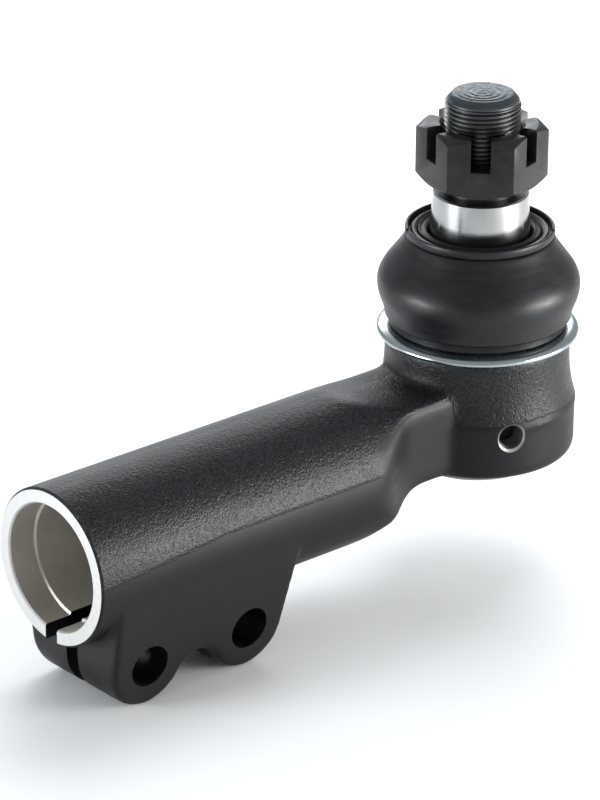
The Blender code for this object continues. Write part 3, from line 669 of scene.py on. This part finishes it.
def arm_side(sizes):
    """Cutter that lifts the tube's underside and lowers its top on the way to the housing."""
    widest, deep = sizes.tube_radius * 1.02, 0.06
    top, under = [(BEFORE_MOUTH, -deep / 2, widest)], [(BEFORE_MOUTH, -deep / 2, -widest)]
    for x in stations(sizes):
        fall = (x - sizes.sweep_start) / sizes.top_fall_length
        rise = (x - sizes.sweep_start) / sizes.sweep_length
        top.append((x, -deep / 2, ease(widest, sizes.arm_top, fall)))
        under.append((x, -deep / 2, ease(-widest, sizes.arm_bottom, rise)))
    return slab("arm_side", top + under[::-1], (0, deep, 0))


def lug_outline(sizes):
    """Side outline of the lugs: down the front, round both bosses and the arch, up the leaning back."""
    drop, boss = -sizes.bolt_drop, sizes.boss_radius
    front = sizes.lug_front + boss
    back = front + sizes.bolt_spacing
    reach = boss + sizes.arch_radius
    dip = math.sqrt(reach**2 - (sizes.bolt_spacing / 2) ** 2)
    middle = (front + back) / 2
    lean = math.degrees(math.atan2(dip, sizes.bolt_spacing / 2))
    top = -sizes.tube_radius * math.sin(sizes.lug_draft)
    tilt = math.degrees(sizes.lug_back_lean)
    line = [(sizes.lug_front, top)]
    line += arc((front, drop), boss, 180, 360 - lean, 20)
    line += arc((middle, drop - dip), sizes.arch_radius, 180 - lean, lean, 10)[1:-1]
    line += arc((back, drop), boss, 180 + lean, 360 - tilt, 20)
    foot_x, foot_z = line[-1]
    line.append((foot_x + (top - foot_z) * math.tan(sizes.lug_back_lean), top))
    return line


def lug_blank(sizes):
    """The clamp lugs in one block, with drafted sides."""
    half = sizes.tube_radius * 1.4
    outline = [(x, -half, z) for x, z in lug_outline(sizes)]
    lugs = slab("lugs", outline, (0, 2 * half, 0))
    draft = sizes.lug_draft
    top, width = -sizes.tube_radius * math.sin(draft), sizes.tube_radius * math.cos(draft) - 0.0001
    for side in (-1, 1):
        cut_flat(lugs, (0, side * width, top), (0, side * math.cos(draft), -math.sin(draft)))
    apply_modifier(
        lugs, "BEVEL", width=sizes.lug_edge, segments=3, limit_method="ANGLE", angle_limit=math.radians(40)
    )
    return sealed(lugs)


def housing_blank(sizes):
    """The ball housing: a spigot, a wall that flares to the parting line, and a plain band under it."""
    top, low = RING_LOW.z - 0.0003, -0.0094
    spigot, spigot_top = 0.0246, BODY_HIGH.z
    step, edge, count = 0.0005, 0.0030, 12
    flare = sizes.band_radius + step - sizes.housing_top_radius
    profile = [(0, spigot_top), (spigot, spigot_top), (spigot, top), (sizes.housing_top_radius - step, top)]
    for share in (i / count for i in range(count + 1)):
        height = top - step + (sizes.parting_height - top + step) * share
        profile.append((sizes.housing_top_radius + flare * share**3, height))
    profile.append((sizes.band_radius, sizes.parting_height - step))
    profile += arc((sizes.band_radius - edge, low + edge), edge, 0, -90, 8)
    profile.append((0, low))
    return spun("housing", profile)


def skin_share(point, normal, sizes):
    """1 on the rough forged skin above the parting line, 0 on the smoother flank below it."""
    housing_fade, tube_fade, arm_fade = 0.0012, 0.0011, 0.006
    mouth_line, line_slope, highest_line = 0.0007, 0.085, 0.0048
    from_stud = math.hypot(point.x - STUD_X, point.y)
    if from_stud < sizes.band_radius - 0.0004:
        line = sizes.parting_height + 0.0008
        return ease(0.0, 1.0, (point.z - line) / housing_fade)
    line = min(mouth_line + point.x * line_slope, highest_line)
    on_tube = ease(0.0, 1.0, (point.z - line) / tube_fade)
    on_arm = ease(0.0, 1.0, (normal.z - 0.52) / 0.2)
    past_shoulder = ease(0.0, 1.0, (point.x - sizes.shoulder_start) / arm_fade)
    return on_tube + (on_arm - on_tube) * past_shoulder


def arm_share(point, sizes):
    """1 where the arm flows into the tube and the housing, 0 away from it."""
    tube_fade, housing_fade, ring_fade = 0.008, 0.010, 0.004
    past_tube = ease(0.0, 1.0, (point.x - sizes.sweep_start) / tube_fade)
    before_housing = ease(1.0, 0.0, (point.x - (STUD_X - 0.0290)) / housing_fade)
    below_ring = ease(1.0, 0.0, (point.z - sizes.arm_top - 0.0020) / ring_fade)
    return past_tube * before_housing * below_ring


def blend_arm(body, sizes):
    """Smooths the forging further where the arm flows into the tube and the housing."""
    group = body.vertex_groups.new(name="arm")
    for vertex in body.data.vertices:
        group.add([vertex.index], arm_share(vertex.co, sizes), "REPLACE")
    apply_modifier(body, "SMOOTH", factor=0.5, iterations=sizes.arm_rounds, vertex_group="arm")
    body.vertex_groups.clear()


def mark_skin(body, sizes):
    """Keeps each point's share of rough skin on the mesh, where the paint reads it."""
    attribute = body.data.attributes.new("forged_skin", "FLOAT", "POINT")
    values = [skin_share(vertex.co, vertex.normal, sizes) for vertex in body.data.vertices]
    attribute.data.foreach_set("value", values)


def bore_tool(sizes):
    """Turned cutter for the socket: counterbore, step and blind bore."""
    out = 0.004
    chamfer = sizes.mouth_chamfer
    cone = sizes.bore_depth + sizes.bore_radius * math.tan(math.radians(15))
    profile = [
        (0, out),
        (sizes.counterbore_radius + chamfer + out, out),
        (sizes.counterbore_radius, -chamfer),
        (sizes.counterbore_radius, -sizes.counterbore_depth + 0.0004),
        (sizes.bore_radius, -sizes.counterbore_depth),
        (sizes.bore_radius, -sizes.bore_depth),
        (0, -cone),
    ]
    tool = spun("bore_tool", profile, at=(0, 0, 0), steps=160)
    return turned(tool, -math.pi / 2, "Y")


def mouth_ring_tool(sizes):
    """Turned cutter that leaves a chamfer round the outside of the mouth."""
    drop = sizes.tube_radius - sizes.mouth_face_radius
    out = 0.003
    profile = [
        (sizes.mouth_face_radius - out, out),
        (sizes.tube_radius + out, out),
        (sizes.tube_radius + out, -drop - out),
    ]
    tool = spun("mouth_ring_tool", profile, at=(0, 0, 0), steps=160, closed=True)
    return turned(tool, -math.pi / 2, "Y")


def slit_tool(sizes):
    half = sizes.slit_width / 2
    low, high = BODY_LOW.z - 0.002, -sizes.bore_radius / 2
    tool = block("slit_tool", (BEFORE_MOUTH, -half, low), (sizes.slit_length - half, half, high))
    end = sizes.slit_length - half
    round_end = rod("slit_end", half, (end, 0, low), (end, 0, high), 32)
    return combine(tool, "UNION", round_end)


def cavity_tool():
    """Ball cavity: open mouth for the leaning neck, seat wall and crimped lower lip."""
    mouth, throat, seat, lip = 0.02297, 0.01685, 0.0243, 0.0220
    mouth_top, throat_low, seat_low, lip_low = 0.0345, 0.0215, -0.0074, -0.0114
    profile = [(0, mouth_top), (mouth, mouth_top), (throat, throat_low), (seat, throat_low)]
    profile += [(seat, seat_low), (lip, seat_low), (lip, lip_low), (0, lip_low)]
    return spun("cavity_tool", profile, steps=96)


def grease_hole_tool(sizes):
    """Countersunk and threaded grease hole, pointing out of the housing."""
    radius, pitch, depth = sizes.grease_hole_radius, 0.00125, 0.0006
    surface, start = sizes.band_radius, 0.0225
    end = surface + 0.002
    tool = threaded_rod("grease_hole_tool", radius, depth, pitch, start, end, (0, 0, 0), 40)
    profile = [(0, surface + 0.002), (radius + 0.0027, surface + 0.002), (radius - 0.0001, surface - 0.0008)]
    profile += [(radius - depth - 0.0004, surface - 0.0008 - depth), (0, surface - 0.0008 - depth)]
    sink = spun("sink", profile, at=(0, 0, 0), steps=64)
    combine(tool, "UNION", sink)
    turned(tool, math.pi / 2, "X")
    turned(tool, sizes.grease_hole_turn, "Z")
    return shifted(tool, (STUD_X, 0, sizes.grease_hole_height))


def forging_finish(face, sizes, hole, outward):
    """Which of the forging's finishes a face takes, by its place; hole is the grease hole's mouth."""
    near, cavity_radius, cavity_top, bore_end = 0.0001, 0.0244, 0.03, 0.107
    hole_reach, sink_radius = 0.012, 0.0052
    center, normal = face.center, face.normal
    reach = math.hypot(center.y, center.z)
    inside_slit = abs(center.y) < sizes.slit_width / 2 + near and center.z < 0
    if center.x < near and normal.x < -0.9 and reach < sizes.mouth_face_radius + near:
        return MOUTH
    if center.x < 0.0012 and normal.x < -0.3 and reach < sizes.counterbore_radius + 0.0006:
        return MOUTH
    if center.x < bore_end and reach < sizes.counterbore_radius + near and not inside_slit:
        return BORE
    off_axis = (center - hole).cross(outward).length
    if (center - hole).length < hole_reach and off_axis < sink_radius and normal.dot(outward) < 0.9:
        return MOUTH if off_axis > sizes.grease_hole_radius - near else DRILLED
    if math.hypot(center.x - STUD_X, center.y) < cavity_radius and center.z < cavity_top:
        return DRILLED
    drop = center.z + sizes.bolt_drop
    front = sizes.lug_front + sizes.boss_radius
    for x in (front, front + sizes.bolt_spacing):
        if math.hypot(center.x - x, drop) < sizes.bolt_hole_radius + near:
            return DRILLED
    return PAINT


def make_forged_body(sizes, colors):
    """The whole forging: drawn in rough, skinned and smoothed, then bored, slit and drilled."""
    body = rod("forged_skin", sizes.tube_radius, (-0.006, 0, 0), (STUD_X, 0, 0), 160)
    combine(body, "INTERSECT", arm_plan(sizes), arm_side(sizes))
    combine(body, "UNION", lug_blank(sizes), housing_blank(sizes))
    apply_modifier(body, "REMESH", mode="VOXEL", voxel_size=sizes.skin_grid)
    apply_modifier(body, "SMOOTH", factor=0.5, iterations=sizes.skin_rounds)
    blend_arm(body, sizes)
    trim = mouth_ring_tool(sizes), block("mouth_cut", (-0.02, -0.04, -0.06), (0, 0.04, 0.04))
    combine(body, "DIFFERENCE", *trim)
    combine(body, "DIFFERENCE", bore_tool(sizes), slit_tool(sizes))
    for index in range(2):
        x = sizes.lug_front + sizes.boss_radius + index * sizes.bolt_spacing
        start, end = (x, -0.03, -sizes.bolt_drop), (x, 0.03, -sizes.bolt_drop)
        combine(body, "DIFFERENCE", rod("bolt_hole", sizes.bolt_hole_radius, start, end, 64))
    combine(body, "DIFFERENCE", grease_hole_tool(sizes), cavity_tool())
    mark_skin(body, sizes)
    turn = sizes.grease_hole_turn
    outward = Vector((math.sin(turn), -math.cos(turn), 0))
    hole = Vector((STUD_X, 0, sizes.grease_hole_height)) + outward * sizes.band_radius
    # Inside the drilled holes and the ball cavity the oiled steel is darkened further: painted shade inside
    # the holes.
    origin, hole_shade_steel = (0, 0, 0), shade(colors.oiled_steel, 0.6)
    finishes = [
        forging_paint(colors),
        turned_steel("mouth_steel", colors.bare_steel, 0.42, "X", origin, 0.0004, 0.000004),
        turned_steel("bore_steel", colors.bore_steel, 0.34, "X", origin, 0.0007, 0.000008, metallic=0.45),
        turned_steel("drilled_steel_shaded", hole_shade_steel, 0.42, "Z", CENTER, 0.0008, 0.000004),
    ]
    paint_faces(body, finishes, lambda face: forging_finish(face, sizes, hole, outward))
    softened(body, 38)
    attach(body, "housing")
    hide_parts("forged_body")


# ---------------------------------------------------------------- stud and nut


def nut_slot_turn(sizes, index):
    return sizes.nut_turn + index * math.pi / 3


def make_stud(sizes, colors):
    """Ball, neck and ground taper turned in one, under a true thread and a faced end."""
    edge = 0.0005
    top = STUD_HIGH.z
    thread_low, thread_high = sizes.taper_small_height + 0.0012, top - 0.0026
    large, small = sizes.taper_large_radius, sizes.taper_small_radius
    core = sizes.thread_radius - sizes.thread_depth - 0.0003
    fall = sizes.taper_large_height - sizes.neck_height
    profile = [(0, thread_low + 0.001), (core, thread_low + 0.001), (core, sizes.taper_small_height)]
    profile += [(small - edge, sizes.taper_small_height), (small, sizes.taper_small_height - edge)]
    profile.append((large, sizes.taper_large_height))
    for share in (i / 14 for i in range(1, 15)):
        profile.append((ease(large, sizes.neck_radius, share), sizes.taper_large_height - fall * share))
    lean = math.degrees(math.asin(sizes.neck_radius / sizes.ball_radius))
    flat = STUD_LOW.z
    bottom = math.degrees(math.acos((flat - BALL_Z) / sizes.ball_radius))
    profile += arc((0, BALL_Z), sizes.ball_radius, 90 - lean, 90 - bottom, 40)
    profile.append((0, flat))
    stud = spun("ball_stud_turned", profile, steps=128)
    thread = threaded_rod(
        "thread", sizes.thread_radius, sizes.thread_depth, sizes.thread_pitch, thread_low, thread_high, CENTER
    )
    land = sizes.thread_radius - 0.0006
    tip = [(0, top), (0.0094, top), (0.0098, top - 0.00015), (0.0101, top - 0.0005)]
    tip += [(land, top - 0.0020), (land, thread_high - 0.0006), (0, thread_high - 0.0006)]
    end = spun("tip", tip, steps=96)
    combine(stud, "UNION", thread, end)
    turn = nut_slot_turn(sizes, 1)
    across = Vector((math.cos(turn), math.sin(turn), 0)) * (sizes.thread_radius + 0.002)
    height = NUT_HIGH.z - sizes.nut_slot_depth + sizes.cotter_hole_radius + 0.0003
    center = Vector((STUD_X, 0, height))
    combine(stud, "DIFFERENCE", rod("cotter", sizes.cotter_hole_radius, center - across, center + across, 32))
    ground = turned_steel("ground_steel", colors.ground_steel, 0.17, "Z", CENTER, 0.00042, 0.000002, 0.03)
    oiled = turned_steel("oiled_steel", colors.oiled_steel, 0.30, "Z", CENTER, 0.0009, 0.000002)
    faced = tip_face(colors)

    def chosen(face):
        if face.center.z > top - 0.0022:
            return 2
        return 1 if face.center.z > sizes.taper_small_height - 0.0001 else 0

    paint_faces(stud, [ground, oiled, faced], chosen)
    softened(stud, 32)
    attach(stud, "stud")
    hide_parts("ball_stud")


def make_nut(sizes, colors):
    """Castle nut: a hexagon chamfered at both ends, bored and slotted."""
    low, high = NUT_LOW.z, NUT_HIGH.z
    flat = sizes.nut_across_flats / 2
    corner = flat / math.cos(math.pi / 6)
    reach = corner + 0.002
    face = flat - 0.0005
    rise = (reach - face) * math.tan(math.radians(30))
    nut = rod("castle_nut_machined", corner, (STUD_X, 0, low - 0.001), (STUD_X, 0, high + 0.001), 6)
    turned(nut, sizes.nut_turn, "Z", CENTER)
    envelope = [(0, high), (face, high), (reach, high - rise), (reach, low + rise), (face, low), (0, low)]
    combine(nut, "INTERSECT", spun("nut_envelope", envelope, steps=120))
    hole = sizes.thread_radius + 0.0003
    sink = 0.0013
    bore = [(0, high + sink), (hole + 2 * sink, high + sink), (hole, high - sink), (hole, low + sink)]
    bore += [(hole + 2 * sink, low - sink), (0, low - sink)]
    combine(nut, "DIFFERENCE", spun("nut_bore", bore, steps=96))
    half = sizes.nut_slot_width / 2
    slot = block(
        "nut_slot", (STUD_X, -half, high - sizes.nut_slot_depth), (STUD_X + 0.03, half, high + 0.002)
    )
    slots = [turned(copied(slot), nut_slot_turn(sizes, index), "Z", CENTER) for index in range(6)]
    bpy.data.objects.remove(slot, do_unlink=True)
    combine(nut, "DIFFERENCE", *slots)
    # The bevel's own clamp against overlaps cuts it to almost nothing here.
    apply_modifier(
        nut, "BEVEL", width=sizes.nut_edge, segments=2, limit_method="ANGLE", angle_limit=math.radians(24)
    )
    nut.data.materials.append(black_oxide(colors))
    softened(nut, 35)
    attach(nut, "nut")
    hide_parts("castle_nut")


# ---------------------------------------------------------------- boot and rings


def boot_outer(sizes):
    """Outer line of the boot from its top edge down to its foot."""
    top, bulge = BOOT_HIGH.z, sizes.bulge_height
    line = [(sizes.shoulder_radius - 0.0010, top), (sizes.shoulder_radius - 0.0003, top - 0.0002)]
    for share in (i / 22 for i in range(23)):
        swell = ease(share, math.sin(share * math.pi / 2), share)
        radius = sizes.shoulder_radius + (sizes.bulge_radius - sizes.shoulder_radius) * swell
        line.append((radius, top - 0.0006 + (bulge - top + 0.0006) * share))
    crease = BOOT_LOW.z + 0.0034
    neck = sizes.collar_radius + 0.0014
    for share in (i / 16 for i in range(1, 17)):
        line.append((ease(sizes.bulge_radius, neck, share**1.15), bulge + (crease - bulge) * share))
    foot = sizes.collar_radius
    line += [(neck - 0.0007, crease - 0.0002), (foot + 0.0003, crease - 0.0007), (foot, crease - 0.0012)]
    line += [(foot, BOOT_LOW.z + 0.0004), (foot - 0.0004, BOOT_LOW.z)]
    return line


def make_boot(sizes, colors):
    """The dust boot in two rings of rubber that meet at the bulge."""
    outer = boot_outer(sizes)
    middle = next(i for i, point in enumerate(outer) if abs(point[1] - sizes.bulge_height) < 0.00001)
    shift = sizes.wall
    inner_foot = sizes.spigot_radius + 0.0018
    inner_top = sizes.seal_radius + 0.0003
    rubber_finish = rubber("boot_rubber", colors.rubber, 0.36, 0.46)
    upper = outer[: middle + 1]
    lining = [(r - shift, z - shift * 0.4) for r, z in upper[4:-1]]
    upper_inner = [(inner_top, upper[0][1]), (inner_top, upper[0][1] - shift)] + lining
    upper_inner.append((upper[-1][0] - shift, sizes.bulge_height))
    lower = outer[middle:]
    lower_inner = [(lower[0][0] - shift, sizes.bulge_height)]
    lower_inner += [(r - shift, z) for r, z in lower[1:12]]
    lower_inner += [(inner_foot, RING_HIGH.z + 0.0004), (inner_foot, BOOT_LOW.z)]
    top_half = spun("boot_upper", upper + upper_inner[::-1], steps=144, closed=True)
    foot_half = spun("boot_lower", lower + lower_inner[::-1], steps=144, closed=True)
    for half in (top_half, foot_half):
        half.data.materials.append(rubber_finish)
        softened(half, 40)
        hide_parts("dust_boot")
    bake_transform(foot_half)
    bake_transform(top_half)


def make_base_ring(sizes, colors):
    """Plated ring with a rounded flange and an upstand inside the boot's foot."""
    low = RING_LOW.z
    high = low + 0.0028
    inner = sizes.spigot_radius + 0.0003
    edge, foot = 0.0009, sizes.collar_radius + 0.0003
    turns = [math.radians(90 - 90 * i / 16) for i in range(17)]
    across, tall = sizes.ring_radius - foot, high - low - edge
    crown = [(foot + across * math.cos(t), low + edge + tall * math.sin(t)) for t in turns]
    under = arc((sizes.ring_radius - edge, low + edge), edge, 0, -90, 8)[1:]
    profile = [(inner, RING_HIGH.z), (inner + 0.0012, RING_HIGH.z), (inner + 0.0012, high)]
    profile += crown + under + [(inner, low)]
    ring = spun("boot_ring_plated", profile, steps=160, closed=True)
    ring.data.materials.append(zinc_plate(colors))
    softened(ring, 40)
    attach(ring, "housing")
    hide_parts("boot_base_ring")


def make_top_ring(sizes, colors):
    """Boot's top ring: raised thin rim, a groove with two notches and a lower inner ridge."""
    low, high = TOP_LOW.z, TOP_HIGH.z
    outer, inner = sizes.top_ring_radius, sizes.seal_radius + 0.0003
    profile = [(inner, high - 0.0016), (inner + 0.0008, high - 0.0010), (inner + 0.0016, high - 0.0010)]
    profile += [(inner + 0.0020, high - 0.0020), (outer - 0.0013, high - 0.0020)]
    profile += [(outer - 0.0010, high - 0.0002)]
    profile += [(outer - 0.0008, high), (outer - 0.0004, high), (outer - 0.0001, high - 0.0002)]
    profile += [(outer, high - 0.0006), (outer, low + 0.0006), (outer - 0.0003, low), (inner, low)]
    ring = spun("boot_top_ring_moulded", profile, steps=144, closed=True)
    start, end = STUD_X + inner + 0.0019, STUD_X + outer + 0.001
    notch = block("notch", (start, -0.0008, high - 0.0017), (end, 0.0008, high + 0.001))
    notches = [turned(copied(notch), turn, "Z", CENTER) for turn in (math.radians(150), math.radians(-52))]
    bpy.data.objects.remove(notch, do_unlink=True)
    combine(ring, "DIFFERENCE", *notches)
    ring.data.materials.append(rubber("ring_rubber", colors.rubber, 0.38, 0.46))
    softened(ring, 35)
    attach(ring, "boot_top")
    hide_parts("boot_top_ring")


def taper_radius(sizes, height):
    """Radius of the stud's taper at a height."""
    share = (height - sizes.taper_large_height) / (sizes.taper_small_height - sizes.taper_large_height)
    return sizes.taper_large_radius + share * (sizes.taper_small_radius - sizes.taper_large_radius)


def make_seal_ring(sizes, stud, colors):
    """Rubber lip that wipes the stud's taper."""
    low, high = SEAL_LOW.z, SEAL_HIGH.z
    outer = sizes.seal_radius
    inner = taper_radius(stud, low) + 0.0003
    profile = [(inner, high - 0.0016), (inner + 0.0005, high - 0.0004), (inner + 0.0010, high - 0.0001)]
    profile += [(inner + 0.0016, high - 0.0005), (outer - 0.0009, high - 0.0006), (outer - 0.0005, high)]
    profile += [(outer - 0.0001, high - 0.0003), (outer, high - 0.0008), (outer, low), (inner, low)]
    seal = spun("stud_seal_moulded", profile, steps=128, closed=True)
    seal.data.materials.append(rubber("seal_rubber", colors.rubber, 0.40, 0.48))
    softened(seal, 40)
    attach(seal, "boot_top")
    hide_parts("stud_seal_ring")


def make_plug(sizes, colors):
    """Pressed end plug with a dished face and a soft rolled edge."""
    low, high = PLUG_LOW.z, PLUG_HIGH.z
    outer, edge = sizes.plug_radius, 0.0004
    flange, wall, floor = 0.0240, 0.0188, -0.0116
    lip, dish = high - 0.0024, low + 0.0006
    profile = [(0, floor), (wall, floor), (wall, high), (flange, high), (flange, lip)]
    profile += [(outer, lip)] + arc((outer - edge, low + edge), edge, 0, -90, 6)
    profile += [(outer - 0.0040, low), (outer - 0.0052, dish), (0, dish)]
    plug = spun("end_plug_pressed", profile, steps=128)
    steel = turned_steel("plug_steel", colors.plug_steel, 0.38, "Z", CENTER, 0.0008, 0.000003)
    plug.data.materials.append(steel)
    softened(plug, 35)
    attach(plug, "housing")
    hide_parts("end_plug")


def finish_inner_pieces(colors):
    """Materials of the pieces that stay as the working model has them, inside the housing."""
    seat = resin(colors)
    dress("upper_ball_seat", seat)
    dress("lower_ball_seat", seat)
    dress("plug_seal", rubber("o_ring_rubber", colors.rubber, 0.40, 0.50))
    spring = turned_steel("spring_steel", colors.spring_steel, 0.30, "Z", CENTER, 0.0008, 0.000002)
    dress("preload_spring", spring)


# ---------------------------------------------------------------- stage


def stage_floor(settings):
    """A plain pale floor that runs past every view's horizon."""
    finish, across = Finish("floor"), 60.0
    finish.tint(finish.noise(1.5), settings.floor_color, shade(settings.floor_color, 0.99))
    finish.plain(roughness=0.55, specular=0.25)
    bpy.ops.mesh.primitive_plane_add(size=across, location=(0, 0, BODY_LOW.z - 0.0001))
    floor = added("floor")
    floor.data.materials.append(finish.material)


def softbox(name, direction, distance, size, power, tone, target, mirrored=True):
    """A rectangular light that faces the part, unseen by the camera."""
    aim = Vector(direction).normalized()
    bpy.ops.object.light_add(type="AREA", location=Vector(target) + aim * distance)
    lamp = bpy.context.active_object
    lamp.name = name
    lamp.rotation_euler = aim.to_track_quat("Z", "Y").to_euler()
    lamp.data.shape = "RECTANGLE"
    lamp.data.size, lamp.data.size_y = size
    lamp.data.energy = power
    lamp.data.color = tone
    lamp.visible_glossy = mirrored
    lamp.visible_camera = False


def stage_lights(settings):
    target = (STUD_X / 2, 0, 0.01)
    cool, warm = (0.93, 0.97, 1.0), (1.0, 0.985, 0.96)
    softbox(
        "top_light", (0.50, 0.30, 0.81), 1.2, (0.8, 0.8), settings.top_power, cool, target, mirrored=False
    )
    softbox("right_light", (0.61, -0.79, 0.10), 0.8, (0.42, 0.24), settings.right_power, warm, target)
    softbox("left_light", (-0.93, 0.37, 0.10), 0.8, (0.35, 0.24), settings.left_power, cool, target)
    softbox("back_light", (0.58, 0.74, 0.34), 0.9, (0.7, 0.22), settings.back_power, cool, target)
    world = bpy.data.worlds.new("soft_surround")
    world.use_nodes = True
    sky = world.node_tree.nodes["Background"]
    sky.inputs["Color"].default_value = (*settings.sky_color, 1.0)
    sky.inputs["Strength"].default_value = settings.sky_strength
    bpy.context.scene.world = world
    bpy.context.scene.view_settings.view_transform = "Standard"


def stage_camera(settings):
    bpy.ops.object.camera_add(location=settings.camera_place)
    camera = bpy.context.active_object
    turn = Matrix.Rotation(settings.view_turn, 4, "Z")
    rise = Matrix.Rotation(math.pi / 2 - settings.view_rise, 4, "X")
    roll = Matrix.Rotation(settings.view_roll, 4, "Z")
    camera.matrix_world = Matrix.Translation(settings.camera_place) @ turn @ rise @ roll
    camera.data.lens = settings.lens
    camera.data.sensor_width = 36.0
    camera.data.clip_start = 0.01
    bpy.context.scene.camera = camera


# ---------------------------------------------------------------- operators


def settings_of(context, name):
    return getattr(context.scene, name)


class BuildForgedBody(bpy.types.Operator):
    """Forged body: socket tube, clamp lugs, arm and ball housing"""

    bl_idname = "tie_rod.forged_body"
    bl_label = "Forged Body"

    def execute(self, context):
        make_forged_body(settings_of(context, "tie_rod_forging"), settings_of(context, "tie_rod_finish"))
        return {"FINISHED"}


class BuildStud(bpy.types.Operator):
    """Ball stud with its ground taper and its thread"""

    bl_idname = "tie_rod.ball_stud"
    bl_label = "Ball Stud"

    def execute(self, context):
        make_stud(settings_of(context, "tie_rod_stud"), settings_of(context, "tie_rod_finish"))
        return {"FINISHED"}


class BuildNut(bpy.types.Operator):
    """Castle nut"""

    bl_idname = "tie_rod.castle_nut"
    bl_label = "Castle Nut"

    def execute(self, context):
        make_nut(settings_of(context, "tie_rod_stud"), settings_of(context, "tie_rod_finish"))
        return {"FINISHED"}


class BuildBoot(bpy.types.Operator):
    """Dust boot, in two halves"""

    bl_idname = "tie_rod.dust_boot"
    bl_label = "Dust Boot"

    def execute(self, context):
        make_boot(settings_of(context, "tie_rod_boot"), settings_of(context, "tie_rod_finish"))
        return {"FINISHED"}


class BuildRings(bpy.types.Operator):
    """Plated base ring, moulded top ring and stud seal"""

    bl_idname = "tie_rod.boot_rings"
    bl_label = "Boot Rings"

    def execute(self, context):
        sizes, colors = settings_of(context, "tie_rod_boot"), settings_of(context, "tie_rod_finish")
        make_base_ring(sizes, colors)
        make_top_ring(sizes, colors)
        make_seal_ring(sizes, settings_of(context, "tie_rod_stud"), colors)
        return {"FINISHED"}


class BuildPlug(bpy.types.Operator):
    """End plug, and the finishes of the pieces inside the housing"""

    bl_idname = "tie_rod.end_plug"
    bl_label = "End Plug and Inner Pieces"

    def execute(self, context):
        colors = settings_of(context, "tie_rod_finish")
        make_plug(settings_of(context, "tie_rod_boot"), colors)
        finish_inner_pieces(colors)
        return {"FINISHED"}


class BuildStage(bpy.types.Operator):
    """Pale floor, soft lights and camera"""

    bl_idname = "tie_rod.stage"
    bl_label = "Stage"

    def execute(self, context):
        settings = settings_of(context, "tie_rod_stage")
        stage_floor(settings)
        stage_lights(settings)
        stage_camera(settings)
        return {"FINISHED"}


OPERATORS = (BuildForgedBody, BuildStud, BuildNut, BuildBoot, BuildRings, BuildPlug, BuildStage)


class TieRodPanel(bpy.types.Panel):
    """Settings and build steps of the tie rod end"""

    bl_idname = "VIEW3D_PT_tie_rod"
    bl_label = "Tie Rod End"
    bl_space_type = "VIEW_3D"
    bl_region_type = "UI"
    bl_category = "Tie Rod"

    def draw(self, context):
        for step in OPERATORS:
            self.layout.operator(step.bl_idname)
        for name, group in SETTINGS.items():
            column = self.layout.box().column()
            column.label(text=group.__name__.replace("Settings", ""))
            for key in group.__annotations__:
                column.prop(getattr(context.scene, name), key)


CLASSES = (*SETTINGS.values(), *OPERATORS, TieRodPanel)


def register():
    for item in CLASSES:
        bpy.utils.register_class(item)
    for name, group in SETTINGS.items():
        setattr(bpy.types.Scene, name, PointerProperty(type=group))


def unregister():
    for name in SETTINGS:
        delattr(bpy.types.Scene, name)
    for item in reversed(CLASSES):
        bpy.utils.unregister_class(item)


def write_sizes():
    """Brings the scene's view layer up to date."""
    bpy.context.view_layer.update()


def main():
    register()
    bpy.ops.tie_rod.forged_body()
    bpy.ops.tie_rod.ball_stud()
    bpy.ops.tie_rod.castle_nut()
    bpy.ops.tie_rod.dust_boot()
    bpy.ops.tie_rod.boot_rings()
    bpy.ops.tie_rod.end_plug()
    bpy.ops.tie_rod.stage()
    write_sizes()


if __name__ == "__main__":
    main()
